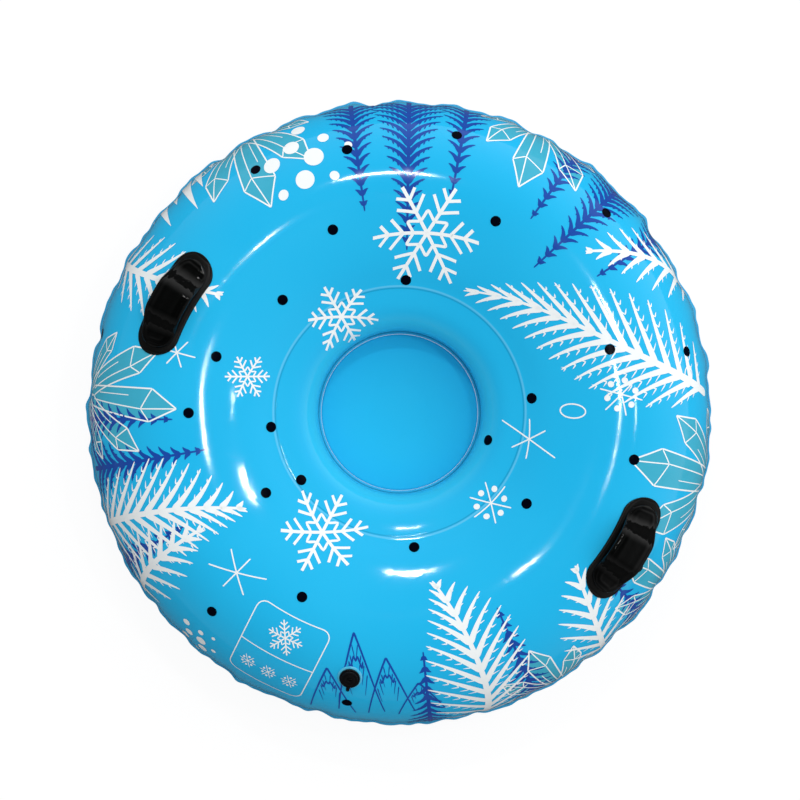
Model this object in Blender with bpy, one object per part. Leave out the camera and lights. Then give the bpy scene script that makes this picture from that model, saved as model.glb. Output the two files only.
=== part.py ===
"""An inflatable snow tube: a ring of vinyl sheets with a seat floor, two grab handles and a screw-in valve.

Metres, +Z up. The tube lies on the ground at Z = 0, its axis on Z and its valve at the front, towards -Y.
A place on the ring is given by two angles: its azimuth round the axis, and its turn round the section, which
is zero at the outer seam, a quarter turn at the crown and a half turn at the inner seam.
"""

import math

import bmesh
import bpy
from mathutils import Matrix, Vector

# The blown-up ring. Its section follows a power of the sine: the three powers hold at the outer seam, halfway
# and at the inner seam, and the smaller a power is, the squarer the section gets there
SEAM_RADIUS = 0.502
SEAT_RADIUS = 0.131
CROWN_SHIFT = 0.036
CROWN_RISE = 0.157
CROWN_POWERS = (1.0, 0.9, 0.34)
BELLY_DROP = 0.148
BELLY_OVERSHOOT = 0.003
BELLY_POWERS = (0.85, 0.75, 0.40)
RATE_STEP = math.radians(0.2)

# The vinyl sheets, and the gap that neighbouring pieces keep
TOP_WALL = 0.0007
BASE_WALL = 0.0009
FLOOR_WALL = 0.0009
CLEARANCE = 0.0003

# The welded seams
SEAM_THICKNESS = 0.0016
OUTER_SEAM_WIDTH = 0.005
INNER_SEAM_WIDTH = 0.004
SEAM_BITE = 0.003

# The puckers that gather the outer seam. Each wave is its size, its count round the ring and its phase
PUCKER_COUNT = 36
PUCKER_DEPTH = 0.0075
PUCKER_REACH = math.radians(22)
PUCKER_SHARPNESS = 1.5
PUCKER_WANDER = ((0.45, 4, 0.6), (0.3, 9, 2.1))
PUCKER_STRENGTH = 0.5
PUCKER_SWELLS = ((0.22, 1, 0.3), (0.18, 5, -0.9), (0.10, 13, 1.7))

# The stay band inside, which ties the top sheet to the bottom one round the seat
STAY_RADIUS = 0.1957
STAY_WALL = 0.0007
STAY_GROOVE_DEPTH = 0.0035
STAY_GROOVE_REACH = math.radians(9)
STAY_FLANGE_WIDTH = 0.009
VENT_COUNT = 12
VENT_HEIGHT = 0.040

# The seat floor
FLOOR_SAG = 0.006
FLOOR_FLAT_RADIUS = 0.045
FLOOR_RINGS = 2

# How finely the round surfaces are cut: sides round the ring, turns of the section in degrees next to the
# puckered seam, then shares of the way to the stay band and to the flat foot, and from the stay band inward
FINE_SIDES = 120
SIDES = FINE_SIDES // 2
FINE_TURNS = (0, 13)
TOP_TURN_SHARES = (0.12, 0.22, 0.315, 0.40, 0.485, 0.57, 0.67, 0.78, 0.89)
BASE_TURN_SHARES = (0.14, 0.28, 0.41, 0.51, 0.72, 0.86)
INNER_TURN_SHARES = (0.29, 0.53, 0.72, 0.86, 0.945, 1.0)
SHARP_ANGLE = math.radians(35)
MERGE_GAP = 0.00001

# The two grab handles: azimuth round the ring, turn round the section and twist off its line, in degrees
HANDLE_PLACES = {"left": (154.1, 76.5, -3.0), "right": (-31.1, 69.0, 0.0)}
PATCH_LENGTH = 0.176
PATCH_WIDTH = 0.067
PATCH_THICKNESS = 0.002
PATCH_BEVEL = 0.0008
PATCH_STAND = 0.0005
PATCH_STATIONS = 18
PATCH_COLUMNS = 5
GRIP_LENGTH = 0.152
GRIP_END_WIDTH = 0.053
GRIP_WAIST_WIDTH = 0.049
GRIP_THICKNESS = 0.010
GRIP_FOOT_THICKNESS = 0.006
GRIP_TIP_SHARE = 0.45
GRIP_RISE = 0.026
GRIP_FOOT_LENGTH = 0.020
GRIP_SHOULDER_LENGTH = 0.038
GRIP_SQUARENESS = 0.8
GRIP_STATIONS = 20
GRIP_SIDES = 12

# The valve, whose own axis stands square on the ring
VALVE_PLACE = (-100.6, 66.1, 0.0)
VALVE_SIDES = 24
WELD_RING_RADIUS = 0.0195
WELD_RING_THICKNESS = 0.0012
WELD_RING_STAND = 0.0006
COLLAR_RADIUS = 0.0165
COLLAR_HEIGHT = 0.0036
SHANK_RADIUS = 0.0146
SHANK_DEPTH = 0.009
BASE_BORE_RADIUS = 0.011
EDGE_ROUND = 0.0008
SEAL_WIDTH = 0.0024
SEAL_THICKNESS = 0.0008
INSERT_FLANGE_RADIUS = 0.0136
INSERT_FLANGE_THICKNESS = 0.0018
INSERT_BORE_RADIUS = 0.0066
INSERT_DEPTH = 0.008
FLAP_RADIUS = 0.0082
FLAP_THICKNESS = 0.0008
CAP_RADIUS = 0.0095
CAP_THICKNESS = 0.0022
LUG_INSET = 0.0002
PLUG_LENGTH = 0.005
PLUG_TAPER = 0.001
RIB_COUNT = 3
RIB_LENGTH = 0.0085
RIB_WIDTH = 0.0011
RIB_HEIGHT = 0.0006
RIB_PITCH = 0.0030
STRAP_THICKNESS = 0.0008
STRAP_RING_RADIUS = 0.0131
HINGE_REACH = 0.0118
LUG_WIDTH = 0.006
TAB_REACH = 0.0205
TAB_SIDES = 8
CUT_LENGTH = 0.04

# Sizes that follow from those above
RING_RADIUS = (SEAM_RADIUS + SEAT_RADIUS) / 2
HALF_WIDTH = (SEAM_RADIUS - SEAT_RADIUS) / 2
SEAM_HEIGHT = BELLY_DROP + SEAM_THICKNESS / 2 + CLEARANCE
STAY_ROOT = math.sqrt(HALF_WIDTH**2 - 4 * CROWN_SHIFT * (STAY_RADIUS - RING_RADIUS - CROWN_SHIFT))
STAY_TURN = math.acos((HALF_WIDTH - STAY_ROOT) / (2 * CROWN_SHIFT))

# Colours: red, green, blue
SKY_VINYL = (0.055, 0.46, 0.83)
BASE_VINYL = (0.045, 0.36, 0.74)
FLOOR_VINYL = (0.03, 0.45, 0.84)
BLACK_VINYL = (0.006, 0.006, 0.007)
CLEAR_VINYL = (0.62, 0.80, 0.88)
BLACK_PLASTIC = (0.010, 0.010, 0.011)
GREY_RUBBER = (0.045, 0.045, 0.048)


def clear_scene():
    """Removes what a new Blender scene holds."""
    for item in list(bpy.data.objects):
        bpy.data.objects.remove(item)


def finish(name, colour, roughness, metallic=0.0):
    """A plain material of one colour."""
    material = bpy.data.materials.new(name)
    material.use_nodes = True
    shader = material.node_tree.nodes["Principled BSDF"]
    shader.inputs["Base Color"].default_value = (*colour, 1.0)
    shader.inputs["Roughness"].default_value = roughness
    shader.inputs["Metallic"].default_value = metallic
    return material


def add_object(name, mesh, material, parent=None):
    """Puts a mesh into the scene under this name, with its material and its parent."""
    item = bpy.data.objects.new(name, mesh)
    bpy.context.scene.collection.objects.link(item)
    if material is not None:
        mesh.materials.append(material)
    item.parent = parent
    return item


def mesh_from(name, shape):
    """A mesh from a bmesh, shaded smooth with its sharp edges kept."""
    mesh = bpy.data.meshes.new(name)
    shape.to_mesh(mesh)
    shape.free()
    mesh.shade_smooth()
    mesh.set_sharp_from_angle(angle=SHARP_ANGLE)
    return mesh


# The surface of the ring


def waves(azimuth, table):
    """The sum of some waves that run round the ring."""
    return sum(size * math.sin(count * azimuth + phase) for size, count, phase in table)


def pucker(azimuth, turn):
    """How far the gathered seam draws the sheet in: folds of unlike depth that fade away from the seam."""
    wander = waves(azimuth, PUCKER_WANDER)
    fold = ((1 - math.cos(PUCKER_COUNT * azimuth + wander)) / 2) ** PUCKER_SHARPNESS
    strength = PUCKER_STRENGTH + waves(azimuth, PUCKER_SWELLS)
    fade = math.exp(-((turn / PUCKER_REACH) ** 2))
    return PUCKER_DEPTH * fold * strength * fade


def stay_groove(turn):
    """How far the stay band draws the sheet in here."""
    return STAY_GROOVE_DEPTH * math.exp(-(((turn - STAY_TURN) / STAY_GROOVE_REACH) ** 2))


def section_point(rise, powers, turn):
    """Radius and height above the seam of a half section of this rise, whose crown stands off its middle."""
    across, up = math.cos(turn), max(math.sin(turn), 0.0)
    outer, halfway, inner = powers
    middle = (outer + inner) / 2
    power = middle + (outer - middle) * across + (halfway - middle) * up**2
    return Vector((RING_RADIUS + HALF_WIDTH * across + CROWN_SHIFT * up**2, rise * up**power))


def section_rate(rise, powers, turn):
    """How fast radius and height of a half section change with the turn here."""
    before, after = max(turn - RATE_STEP, 0.0), min(turn + RATE_STEP, math.pi)
    return (section_point(rise, powers, after) - section_point(rise, powers, before)) / (after - before)


def section_normal(rise, powers, turn):
    """The outward normal of a half section: radius part and height part."""
    rate = section_rate(rise, powers, turn).normalized()
    return Vector((rate.y, -rate.x))


def round_axis(azimuth, radius, height):
    """A point from its azimuth, its distance from the axis and its height."""
    return Vector((radius * math.cos(azimuth), radius * math.sin(azimuth), height))


def top_point(azimuth, turn, lift=0.0):
    """A point of the top sheet's outer face, or one at this lift above it."""
    place = section_point(CROWN_RISE, CROWN_POWERS, turn)
    out = lift - pucker(azimuth, turn) - stay_groove(turn)
    place += out * section_normal(CROWN_RISE, CROWN_POWERS, turn)
    seam_top = SEAM_HEIGHT + SEAM_THICKNESS / 2 + CLEARANCE
    return round_axis(azimuth, place.x, seam_top + place.y)


def base_point(azimuth, turn, lift=0.0):
    """A point of the bottom sheet's outer face, flat on the ground, or one at this lift from it."""
    drop = BELLY_DROP + BELLY_OVERSHOOT
    place = section_point(drop, BELLY_POWERS, turn)
    out = lift - pucker(azimuth, turn) - stay_groove(turn)
    place += out * section_normal(drop, BELLY_POWERS, turn)
    seam_bottom = SEAM_HEIGHT - SEAM_THICKNESS / 2 - CLEARANCE
    return round_axis(azimuth, place.x, seam_bottom - min(place.y, BELLY_DROP))


def on_ring(place, along, up, lift):
    """A point at these distances along the ring and up the section from a place on it, at this lift."""
    azimuth, turn, twist = map(math.radians, place)
    radius = section_point(CROWN_RISE, CROWN_POWERS, turn).x
    stretch = section_rate(CROWN_RISE, CROWN_POWERS, turn).length
    round_way = along * math.cos(twist) - up * math.sin(twist)
    section_way = along * math.sin(twist) + up * math.cos(twist)
    return top_point(azimuth + round_way / radius, turn + section_way / stretch, lift)


def ring_frame(place):
    """The frame of a place on the ring: X along the ring, Y up the section and Z outward."""
    azimuth, turn, _ = map(math.radians, place)
    normal = section_normal(CROWN_RISE, CROWN_POWERS, turn)
    along = Vector((-math.sin(azimuth), math.cos(azimuth), 0.0))
    outward = round_axis(azimuth, normal.x, normal.y)
    frame = Matrix((along, outward.cross(along), outward)).transposed().to_4x4()
    frame.translation = top_point(azimuth, turn)
    return frame


# Building blocks


def bridge(shape, outer, inner, flip, skip=lambda side: False):
    """Faces between two loops of points, where the second may have half as many points as the first."""
    faces = []
    count = len(inner)
    halved = len(outer) == 2 * count
    for side in range(count):
        after = (side + 1) % count
        if skip(side):
            continue
        if halved:
            first, middle, last = (outer[(2 * side + step) % len(outer)] for step in range(3))
            faces.append((first, middle, inner[side]))
            faces.append((middle, inner[after], inner[side]))
            faces.append((middle, last, inner[after]))
        else:
            faces.append((outer[side], outer[after], inner[after], inner[side]))
    for face in faces:
        shape.faces.new(reversed(face) if flip else face)


def loops_mesh(name, loops, flip=False, skip=lambda band, side: False):
    """An open surface through closed loops of points, from the outermost loop to the innermost."""
    shape = bmesh.new()
    rows = [[shape.verts.new(point) for point in loop] for loop in loops]
    for band in range(len(rows) - 1):
        bridge(shape, rows[band], rows[band + 1], flip, lambda side, band=band: skip(band, side))
    return mesh_from(name, shape)


def thicken(item, wall):
    """Gives a surface its wall, on the side that its faces turn away from."""
    modifier = item.modifiers.new("wall", "SOLIDIFY")
    modifier.thickness = wall
    modifier.offset = -1
    modifier.use_even_offset = True


def tube_mesh(name, loops):
    """A closed solid through loops of points, whose first and last loops are capped."""
    shape = bmesh.new()
    rows = [[shape.verts.new(point) for point in loop] for loop in loops]
    for band in range(len(rows) - 1):
        bridge(shape, rows[band], rows[band + 1], False)
    shape.faces.new(reversed(rows[0]))
    shape.faces.new(rows[-1])
    bmesh.ops.recalc_face_normals(shape, faces=shape.faces)
    return mesh_from(name, shape)


def ring_mesh(name, loops):
    """A closed solid like a rim, whose last loop joins the first."""
    shape = bmesh.new()
    rows = [[shape.verts.new(point) for point in loop] for loop in loops]
    for band in range(len(rows)):
        bridge(shape, rows[band], rows[(band + 1) % len(rows)], False)
    bmesh.ops.recalc_face_normals(shape, faces=shape.faces)
    return mesh_from(name, shape)


def turned(name, profile, closed, material, parent):
    """A turned piece: its profile in the XZ plane, down the outer side, spun about Z."""
    count = len(profile)
    edges = [(index, index + 1) for index in range(count - 1)]
    if closed:
        edges.append((count - 1, 0))
    mesh = bpy.data.meshes.new(name)
    mesh.from_pydata([(radius, 0.0, height) for radius, height in profile], edges, [])
    item = add_object(name, mesh, material, parent)
    screw = item.modifiers.new("spin", "SCREW")
    screw.axis = "Z"
    screw.angle = 2 * math.pi
    screw.steps = VALVE_SIDES
    screw.render_steps = VALVE_SIDES
    screw.use_merge_vertices = True
    screw.merge_threshold = MERGE_GAP
    screw.use_smooth_shade = True
    return item


def plate_mesh(name, outline, bottom, top):
    """A flat plate of this outline, from one height to another."""
    return tube_mesh(name, [[Vector((x, y, height)) for x, y in outline] for height in (bottom, top)])


def combine(item, other, operation):
    """Joins a helper to a piece, or cuts it out. The helper isn't part of the object."""
    modifier = item.modifiers.new(other.name, "BOOLEAN")
    modifier.operation = operation
    modifier.object = other
    other.hide_render = True
    other.display_type = "WIRE"


# The ring and its seams


def azimuths(sides):
    """Evenly spaced azimuths once round the ring."""
    return [2 * math.pi * side / sides for side in range(sides)]


def section_loops(point, turns):
    """Loops of points round the ring at these turns of the section, finer next to the puckered seam."""
    fine = [[point(azimuth, math.radians(turn)) for azimuth in azimuths(FINE_SIDES)] for turn in FINE_TURNS]
    coarse = [[point(azimuth, turn) for azimuth in azimuths(SIDES)] for turn in turns]
    return fine + coarse


def outer_turns(shares):
    """Turns of the section at these shares of the way from the puckered seam to the stay band."""
    steep_turn = math.radians(FINE_TURNS[-1])
    return [steep_turn + (STAY_TURN - steep_turn) * share for share in shares]


def inner_turns():
    """Turns of the section from the stay band to the inner seam."""
    return [STAY_TURN] + [STAY_TURN + (math.pi - STAY_TURN) * share for share in INNER_TURN_SHARES]


def top_sheet(material, valve_frame):
    """The printed sheet over the top of the ring, with the hole for the valve."""
    loops = section_loops(top_point, outer_turns(TOP_TURN_SHARES) + inner_turns())
    item = add_object("top_sheet", loops_mesh("top_sheet", loops), material)
    thicken(item, TOP_WALL)
    hole = bmesh.new()
    radius = SHANK_RADIUS + CLEARANCE
    bmesh.ops.create_cone(
        hole,
        cap_ends=True,
        segments=VALVE_SIDES,
        radius1=radius,
        radius2=radius,
        depth=CUT_LENGTH,
        matrix=valve_frame,
    )
    combine(item, add_object("valve_hole", mesh_from("valve_hole", hole), None), "DIFFERENCE")


def base_sheet(material):
    """The thicker sheet under the ring, flat where it lies on the ground."""
    loops = section_loops(base_point, outer_turns(BASE_TURN_SHARES) + inner_turns())
    item = add_object("base_sheet", loops_mesh("base_sheet", loops, flip=True), material)
    thicken(item, BASE_WALL)


def seam_ring(name, radii, sides, material):
    """A flat welded seam between two radii. The outer one follows the puckers."""
    bottom = SEAM_HEIGHT - SEAM_THICKNESS / 2
    top = SEAM_HEIGHT + SEAM_THICKNESS / 2
    inner, outer = radii
    loops = []
    for radius, height in ((inner, bottom), (outer, bottom), (outer, top), (inner, top)):
        follows = radius > RING_RADIUS
        drawn = [radius - pucker(way, 0.0) * follows for way in azimuths(sides)]
        loops.append([round_axis(way, edge, height) for way, edge in zip(azimuths(sides), drawn)])
    add_object(name, ring_mesh(name, loops), material)


def seat_floor(material):
    """The round floor of the seat, drum tight, which sags a little to a flat middle."""
    rim = SEAT_RADIUS - INNER_SEAM_WIDTH - CLEARANCE
    slope_width = rim - FLOOR_FLAT_RADIUS
    radii = [FLOOR_FLAT_RADIUS + slope_width * ring / FLOOR_RINGS for ring in range(FLOOR_RINGS + 1)]

    def face(radius, side):
        slope = 1 - (radius - FLOOR_FLAT_RADIUS) / slope_width
        height = SEAM_HEIGHT + side * FLOOR_WALL / 2 - FLOOR_SAG * slope**2
        return [round_axis(way, radius, height) for way in azimuths(SIDES)]

    loops = [face(radius, -1) for radius in radii] + [face(radius, 1) for radius in reversed(radii)]
    add_object("seat_floor", tube_mesh("seat_floor", loops), material)


def stay_edge(point, wall, next_turn, azimuth):
    """The edge of the stay band's flange under a sheet, and the corner where the band begins."""
    corner = point(azimuth, STAY_TURN, -wall - 2 * CLEARANCE)
    toward = point(azimuth, next_turn) - point(azimuth, STAY_TURN)
    return corner + STAY_FLANGE_WIDTH * toward.normalized(), corner


def stay_band(material):
    """The upright band inside the ring, with its vents and the flanges that are welded to both sheets."""
    rows = []
    top_turn, base_turn = outer_turns(TOP_TURN_SHARES)[-1], outer_turns(BASE_TURN_SHARES)[-1]
    for azimuth in azimuths(SIDES):
        top_edge, top = stay_edge(top_point, TOP_WALL, top_turn, azimuth)
        base_edge, base = stay_edge(base_point, BASE_WALL, base_turn, azimuth)
        vent_share = VENT_HEIGHT / (top.z - base.z) / 2
        upper = top.lerp(base, 1 / 2 - vent_share)
        lower = top.lerp(base, 1 / 2 + vent_share)
        rows.append((top_edge, top, upper, lower, base, base_edge))
    loops = list(zip(*rows))
    vent_band = len(loops) // 2 - 1
    pitch = SIDES // VENT_COUNT
    mesh = loops_mesh("stay_band", loops, skip=lambda band, side: band == vent_band and side % pitch == 0)
    thicken(add_object("stay_band", mesh, material), STAY_WALL)


# The grab handles


def round_ended(length, width, count):
    """Stations of a long shape with round ends: each one's distance along, half width and way to the end."""
    stations = []
    for step in range(count):
        along = -length / 2 * math.cos(math.pi * (step + 1 / 2) / count)
        inward = length / 2 - abs(along)
        share = max(1 - 2 * inward / width, 0.0)
        stations.append((along, width / 2 * math.sqrt(1 - share**2), inward))
    return stations


def lofted(name, place, sections, material):
    """A solid on the ring through cross-sections, each a loop of distances up the section and lifts."""
    loops = [[on_ring(place, along, up, lift) for up, lift in section] for along, section in sections]
    add_object(name, tube_mesh(name, loops), material)


def handle_patch(side, place, material):
    """The reinforcing patch under a handle, which lies on the ring all over."""
    bottom, top = PATCH_STAND, PATCH_STAND + PATCH_THICKNESS
    shares = [2 * column / PATCH_COLUMNS - 1 for column in range(PATCH_COLUMNS + 1)]
    sections = []
    for along, half, _ in round_ended(PATCH_LENGTH, PATCH_WIDTH, PATCH_STATIONS):
        under = [(half * share, bottom) for share in shares]
        over = [((half - PATCH_BEVEL) * share, top) for share in reversed(shares)]
        shoulder = top - PATCH_BEVEL
        sections.append((along, [*under, (half, shoulder), *over, (-half, shoulder)]))
    lofted(f"{side}_handle_patch", place, sections, material)


def smooth_step(value):
    """Rises gently from zero to one as the value does."""
    value = min(max(value, 0.0), 1.0)
    return value * value * (3 - 2 * value)


def flattened(angle_function):
    """A sine or cosine drawn out towards its extremes, which squares a round section a little."""
    return math.copysign(abs(angle_function) ** GRIP_SQUARENESS, angle_function)


def handle_grip(side, place, material):
    """The arched grip: a flattened bar with its feet on the patch and room for fingers under its middle."""
    seat = PATCH_STAND + PATCH_THICKNESS + CLEARANCE
    sections = []
    for along, half, inward in round_ended(GRIP_LENGTH, GRIP_END_WIDTH, GRIP_STATIONS):
        rise = smooth_step((inward - GRIP_FOOT_LENGTH) / GRIP_SHOULDER_LENGTH)
        roundness = 2 * half / GRIP_END_WIDTH
        half_width = half * (1 + (GRIP_WAIST_WIDTH / GRIP_END_WIDTH - 1) * rise)
        full_thickness = GRIP_FOOT_THICKNESS + (GRIP_THICKNESS - GRIP_FOOT_THICKNESS) * rise
        thickness = full_thickness * (GRIP_TIP_SHARE + (1 - GRIP_TIP_SHARE) * roundness)
        middle = seat + GRIP_RISE * rise + thickness / 2
        section = []
        for step in range(GRIP_SIDES):
            angle = 2 * math.pi * step / GRIP_SIDES
            across = half_width * flattened(math.cos(angle))
            section.append((across, middle + thickness / 2 * flattened(math.sin(angle))))
        sections.append((along, section))
    lofted(f"{side}_handle_grip", place, sections, material)


# The valve, in its own frame: X along the ring, Y up the section, Z out of the ring


def valve_heights():
    """Heights of the valve's layers above the ring's face."""
    heights = {"weld_ring_top": WELD_RING_STAND + WELD_RING_THICKNESS}
    heights["collar_bottom"] = heights["weld_ring_top"] + CLEARANCE
    heights["collar_top"] = heights["collar_bottom"] + COLLAR_HEIGHT
    heights["seal_bottom"] = heights["collar_top"] + CLEARANCE
    heights["seal_top"] = heights["seal_bottom"] + SEAL_THICKNESS
    heights["flange_bottom"] = heights["seal_top"] + CLEARANCE
    heights["flange_top"] = heights["flange_bottom"] + INSERT_FLANGE_THICKNESS
    heights["strap_bottom"] = heights["flange_top"] + CLEARANCE
    heights["strap_top"] = heights["strap_bottom"] + STRAP_THICKNESS
    heights["lug_bottom"] = heights["strap_top"] + CLEARANCE
    heights["cap_bottom"] = heights["strap_bottom"]
    heights["cap_top"] = heights["cap_bottom"] + CAP_THICKNESS
    return heights


def weld_ring(material):
    """The clear ring that welds the valve to the sheet, which follows the ring's face."""
    bottom, top = WELD_RING_STAND, WELD_RING_STAND + WELD_RING_THICKNESS
    inner, outer = SHANK_RADIUS + CLEARANCE, WELD_RING_RADIUS
    loops = []
    for radius, lift in [(inner, bottom), (outer, bottom), (outer, top), (inner, top)]:
        angles = azimuths(VALVE_SIDES)
        points = [(radius * math.cos(angle), radius * math.sin(angle)) for angle in angles]
        loops.append([on_ring(VALVE_PLACE, x, y, lift) for x, y in points])
    add_object("valve_weld_ring", ring_mesh("valve_weld_ring", loops), material)


def valve_base(material, parent, heights):
    """The fixed boss, which goes through the sheet and stands on the weld ring with its collar."""
    bottom, top = heights["collar_bottom"], heights["collar_top"]
    profile = [
        (BASE_BORE_RADIUS, top),
        (COLLAR_RADIUS - EDGE_ROUND, top),
        (COLLAR_RADIUS, top - EDGE_ROUND),
        (COLLAR_RADIUS, bottom),
        (SHANK_RADIUS, bottom),
        (SHANK_RADIUS, -SHANK_DEPTH),
        (BASE_BORE_RADIUS, -SHANK_DEPTH),
    ]
    turned("valve_base", profile, True, material, parent)


def valve_seal(material, parent, heights):
    """The flat rubber washer between the collar and the insert's flange."""
    inner, outer = BASE_BORE_RADIUS, BASE_BORE_RADIUS + SEAL_WIDTH
    bottom, top = heights["seal_bottom"], heights["seal_top"]
    profile = [(inner, top), (outer, top), (outer, bottom), (inner, bottom)]
    turned("valve_seal", profile, True, material, parent)


def valve_insert(material, parent, heights):
    """The insert that screws into the boss, with the mouth that the pump fits."""
    bottom, top = heights["flange_bottom"], heights["flange_top"]
    shank = BASE_BORE_RADIUS - CLEARANCE
    profile = [
        (INSERT_BORE_RADIUS, top),
        (INSERT_FLANGE_RADIUS - EDGE_ROUND, top),
        (INSERT_FLANGE_RADIUS, top - EDGE_ROUND),
        (INSERT_FLANGE_RADIUS, bottom),
        (shank, bottom),
        (shank, -INSERT_DEPTH),
        (INSERT_BORE_RADIUS, -INSERT_DEPTH),
    ]
    turned("valve_insert", profile, True, material, parent)


def check_flap(material, parent):
    """The one-way flap that the air inside shuts, hinged on one side of the insert's foot."""
    hinge = bpy.data.objects.new("flap_hinge", None)
    bpy.context.scene.collection.objects.link(hinge)
    hinge.parent = parent
    hinge.location = (-FLAP_RADIUS, 0.0, -INSERT_DEPTH - CLEARANCE - FLAP_THICKNESS / 2)
    top, bottom = FLAP_THICKNESS / 2, -FLAP_THICKNESS / 2
    profile = [(0.0, top), (FLAP_RADIUS, top), (FLAP_RADIUS, bottom), (0.0, bottom)]
    item = turned("check_flap", profile, False, material, hinge)
    item.location = (FLAP_RADIUS, 0.0, 0.0)


def tongue(start, end):
    """The outline of a tongue along -Y, square at its start and round at its end."""
    half = LUG_WIDTH / 2
    points = [(half, start)]
    for step in range(TAB_SIDES + 1):
        angle = -math.pi * step / TAB_SIDES
        points.append((half * math.cos(angle), end + half + half * math.sin(angle)))
    return [*points, (-half, start)]


def cap_strap(material, parent, heights):
    """The soft ring that holds the cap to the insert, with its pull tab."""
    bottom, top = heights["strap_bottom"], heights["strap_top"]
    inner, outer = CAP_RADIUS + CLEARANCE, STRAP_RING_RADIUS
    profile = [(inner, top), (outer, top), (outer, bottom), (inner, bottom)]
    item = turned("cap_strap", profile, True, material, parent)
    tab = plate_mesh("pull_tab", tongue(-(inner + outer) / 2, -TAB_REACH), bottom, top)
    combine(item, add_object("pull_tab", tab, None, item), "UNION")


def valve_cap(material, parent, heights):
    """The stopper: a disc with a tapered plug, finger ribs on top and the lug of its hinge."""
    cap_bottom, cap_top, lug_bottom = heights["cap_bottom"], heights["cap_top"], heights["lug_bottom"]
    hinge_height = (lug_bottom + cap_top) / 2
    hinge = bpy.data.objects.new("cap_hinge", None)
    bpy.context.scene.collection.objects.link(hinge)
    hinge.parent = parent
    hinge.location = (0.0, -HINGE_REACH, hinge_height)
    top, bottom = cap_top - hinge_height, cap_bottom - hinge_height
    plug_radius = INSERT_BORE_RADIUS - CLEARANCE
    profile = [
        (0.0, top),
        (CAP_RADIUS - EDGE_ROUND, top),
        (CAP_RADIUS, top - EDGE_ROUND),
        (CAP_RADIUS, bottom),
        (plug_radius, bottom),
        (plug_radius - PLUG_TAPER, bottom - PLUG_LENGTH),
        (0.0, bottom - PLUG_LENGTH),
    ]
    cap = turned("valve_cap", profile, False, material, hinge)
    cap.location = (0.0, HINGE_REACH, 0.0)
    lug_outline = tongue(-CAP_RADIUS / 2, CLEARANCE - HINGE_REACH)
    lug = plate_mesh("cap_lug", lug_outline, lug_bottom - hinge_height, top - LUG_INSET)
    combine(cap, add_object("cap_lug", lug, None, cap), "UNION")
    for rib in range(RIB_COUNT):
        middle = (rib - (RIB_COUNT - 1) / 2) * RIB_PITCH
        x, y = RIB_LENGTH / 2, RIB_WIDTH / 2
        outline = [(-x, middle - y), (x, middle - y), (x, middle + y), (-x, middle + y)]
        bar = plate_mesh(f"cap_rib_{rib}", outline, top - CAP_THICKNESS / 2, top + RIB_HEIGHT)
        combine(cap, add_object(f"cap_rib_{rib}", bar, None, cap), "UNION")


def main():
    """Builds the tube."""
    clear_scene()
    sky = finish("sky_vinyl", SKY_VINYL, 0.18)
    base = finish("base_vinyl", BASE_VINYL, 0.28)
    floor = finish("floor_vinyl", FLOOR_VINYL, 0.35)
    black = finish("black_vinyl", BLACK_VINYL, 0.16)
    clear = finish("clear_vinyl", CLEAR_VINYL, 0.12)
    plastic = finish("black_plastic", BLACK_PLASTIC, 0.3)
    rubber = finish("grey_rubber", GREY_RUBBER, 0.6)

    valve_frame = ring_frame(VALVE_PLACE)
    top_sheet(sky, valve_frame)
    base_sheet(base)
    seat_floor(floor)
    seam_ring("outer_seam", (SEAM_RADIUS - SEAM_BITE, SEAM_RADIUS + OUTER_SEAM_WIDTH), FINE_SIDES, sky)
    seam_ring("inner_seam", (SEAT_RADIUS - INNER_SEAM_WIDTH, SEAT_RADIUS + SEAM_BITE), SIDES, sky)
    stay_band(base)

    for side, place in HANDLE_PLACES.items():
        handle_patch(side, place, black)
        handle_grip(side, place, black)

    valve_axis = bpy.data.objects.new("valve_axis", None)
    bpy.context.scene.collection.objects.link(valve_axis)
    valve_axis.matrix_world = valve_frame
    heights = valve_heights()
    weld_ring(clear)
    valve_base(plastic, valve_axis, heights)
    valve_seal(rubber, valve_axis, heights)
    valve_insert(plastic, valve_axis, heights)
    check_flap(rubber, valve_axis)
    cap_strap(plastic, valve_axis, heights)
    valve_cap(plastic, valve_axis, heights)


main()
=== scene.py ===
"""The looks of an inflatable snow tube: a glossy printed ring with a seat floor, grab handles and a valve.

Everything is in metres, in the part's own frame: the tube lies flat, +Z up, with its valve towards -Y. A
place on the ring has an azimuth round the axis and a turn round the section: zero at the outer seam, a
quarter turn at the crown and a half turn at the inner seam.
"""

import logging
import math
from dataclasses import dataclass
from enum import Enum
from typing import Any, Iterable, Sequence

import bpy
import numpy as np
from mathutils import Matrix, Vector


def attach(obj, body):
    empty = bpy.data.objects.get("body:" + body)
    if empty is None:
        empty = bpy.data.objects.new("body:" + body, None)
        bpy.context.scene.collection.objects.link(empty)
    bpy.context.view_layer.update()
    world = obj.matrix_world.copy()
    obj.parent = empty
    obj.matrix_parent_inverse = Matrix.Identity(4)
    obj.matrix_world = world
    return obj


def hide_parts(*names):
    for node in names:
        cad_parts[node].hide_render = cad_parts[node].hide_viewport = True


log = logging.getLogger("snow_tube")
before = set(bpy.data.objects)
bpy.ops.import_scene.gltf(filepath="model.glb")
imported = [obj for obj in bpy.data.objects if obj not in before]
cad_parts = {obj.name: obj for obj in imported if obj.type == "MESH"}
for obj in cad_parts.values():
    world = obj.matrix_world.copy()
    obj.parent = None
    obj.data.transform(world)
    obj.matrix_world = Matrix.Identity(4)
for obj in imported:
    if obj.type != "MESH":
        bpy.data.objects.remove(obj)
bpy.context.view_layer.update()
Colour = tuple[float, float, float]
VINYL_IOR = 1.5
WHITE = (1.0, 1.0, 1.0)


# Shader nodes


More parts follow.
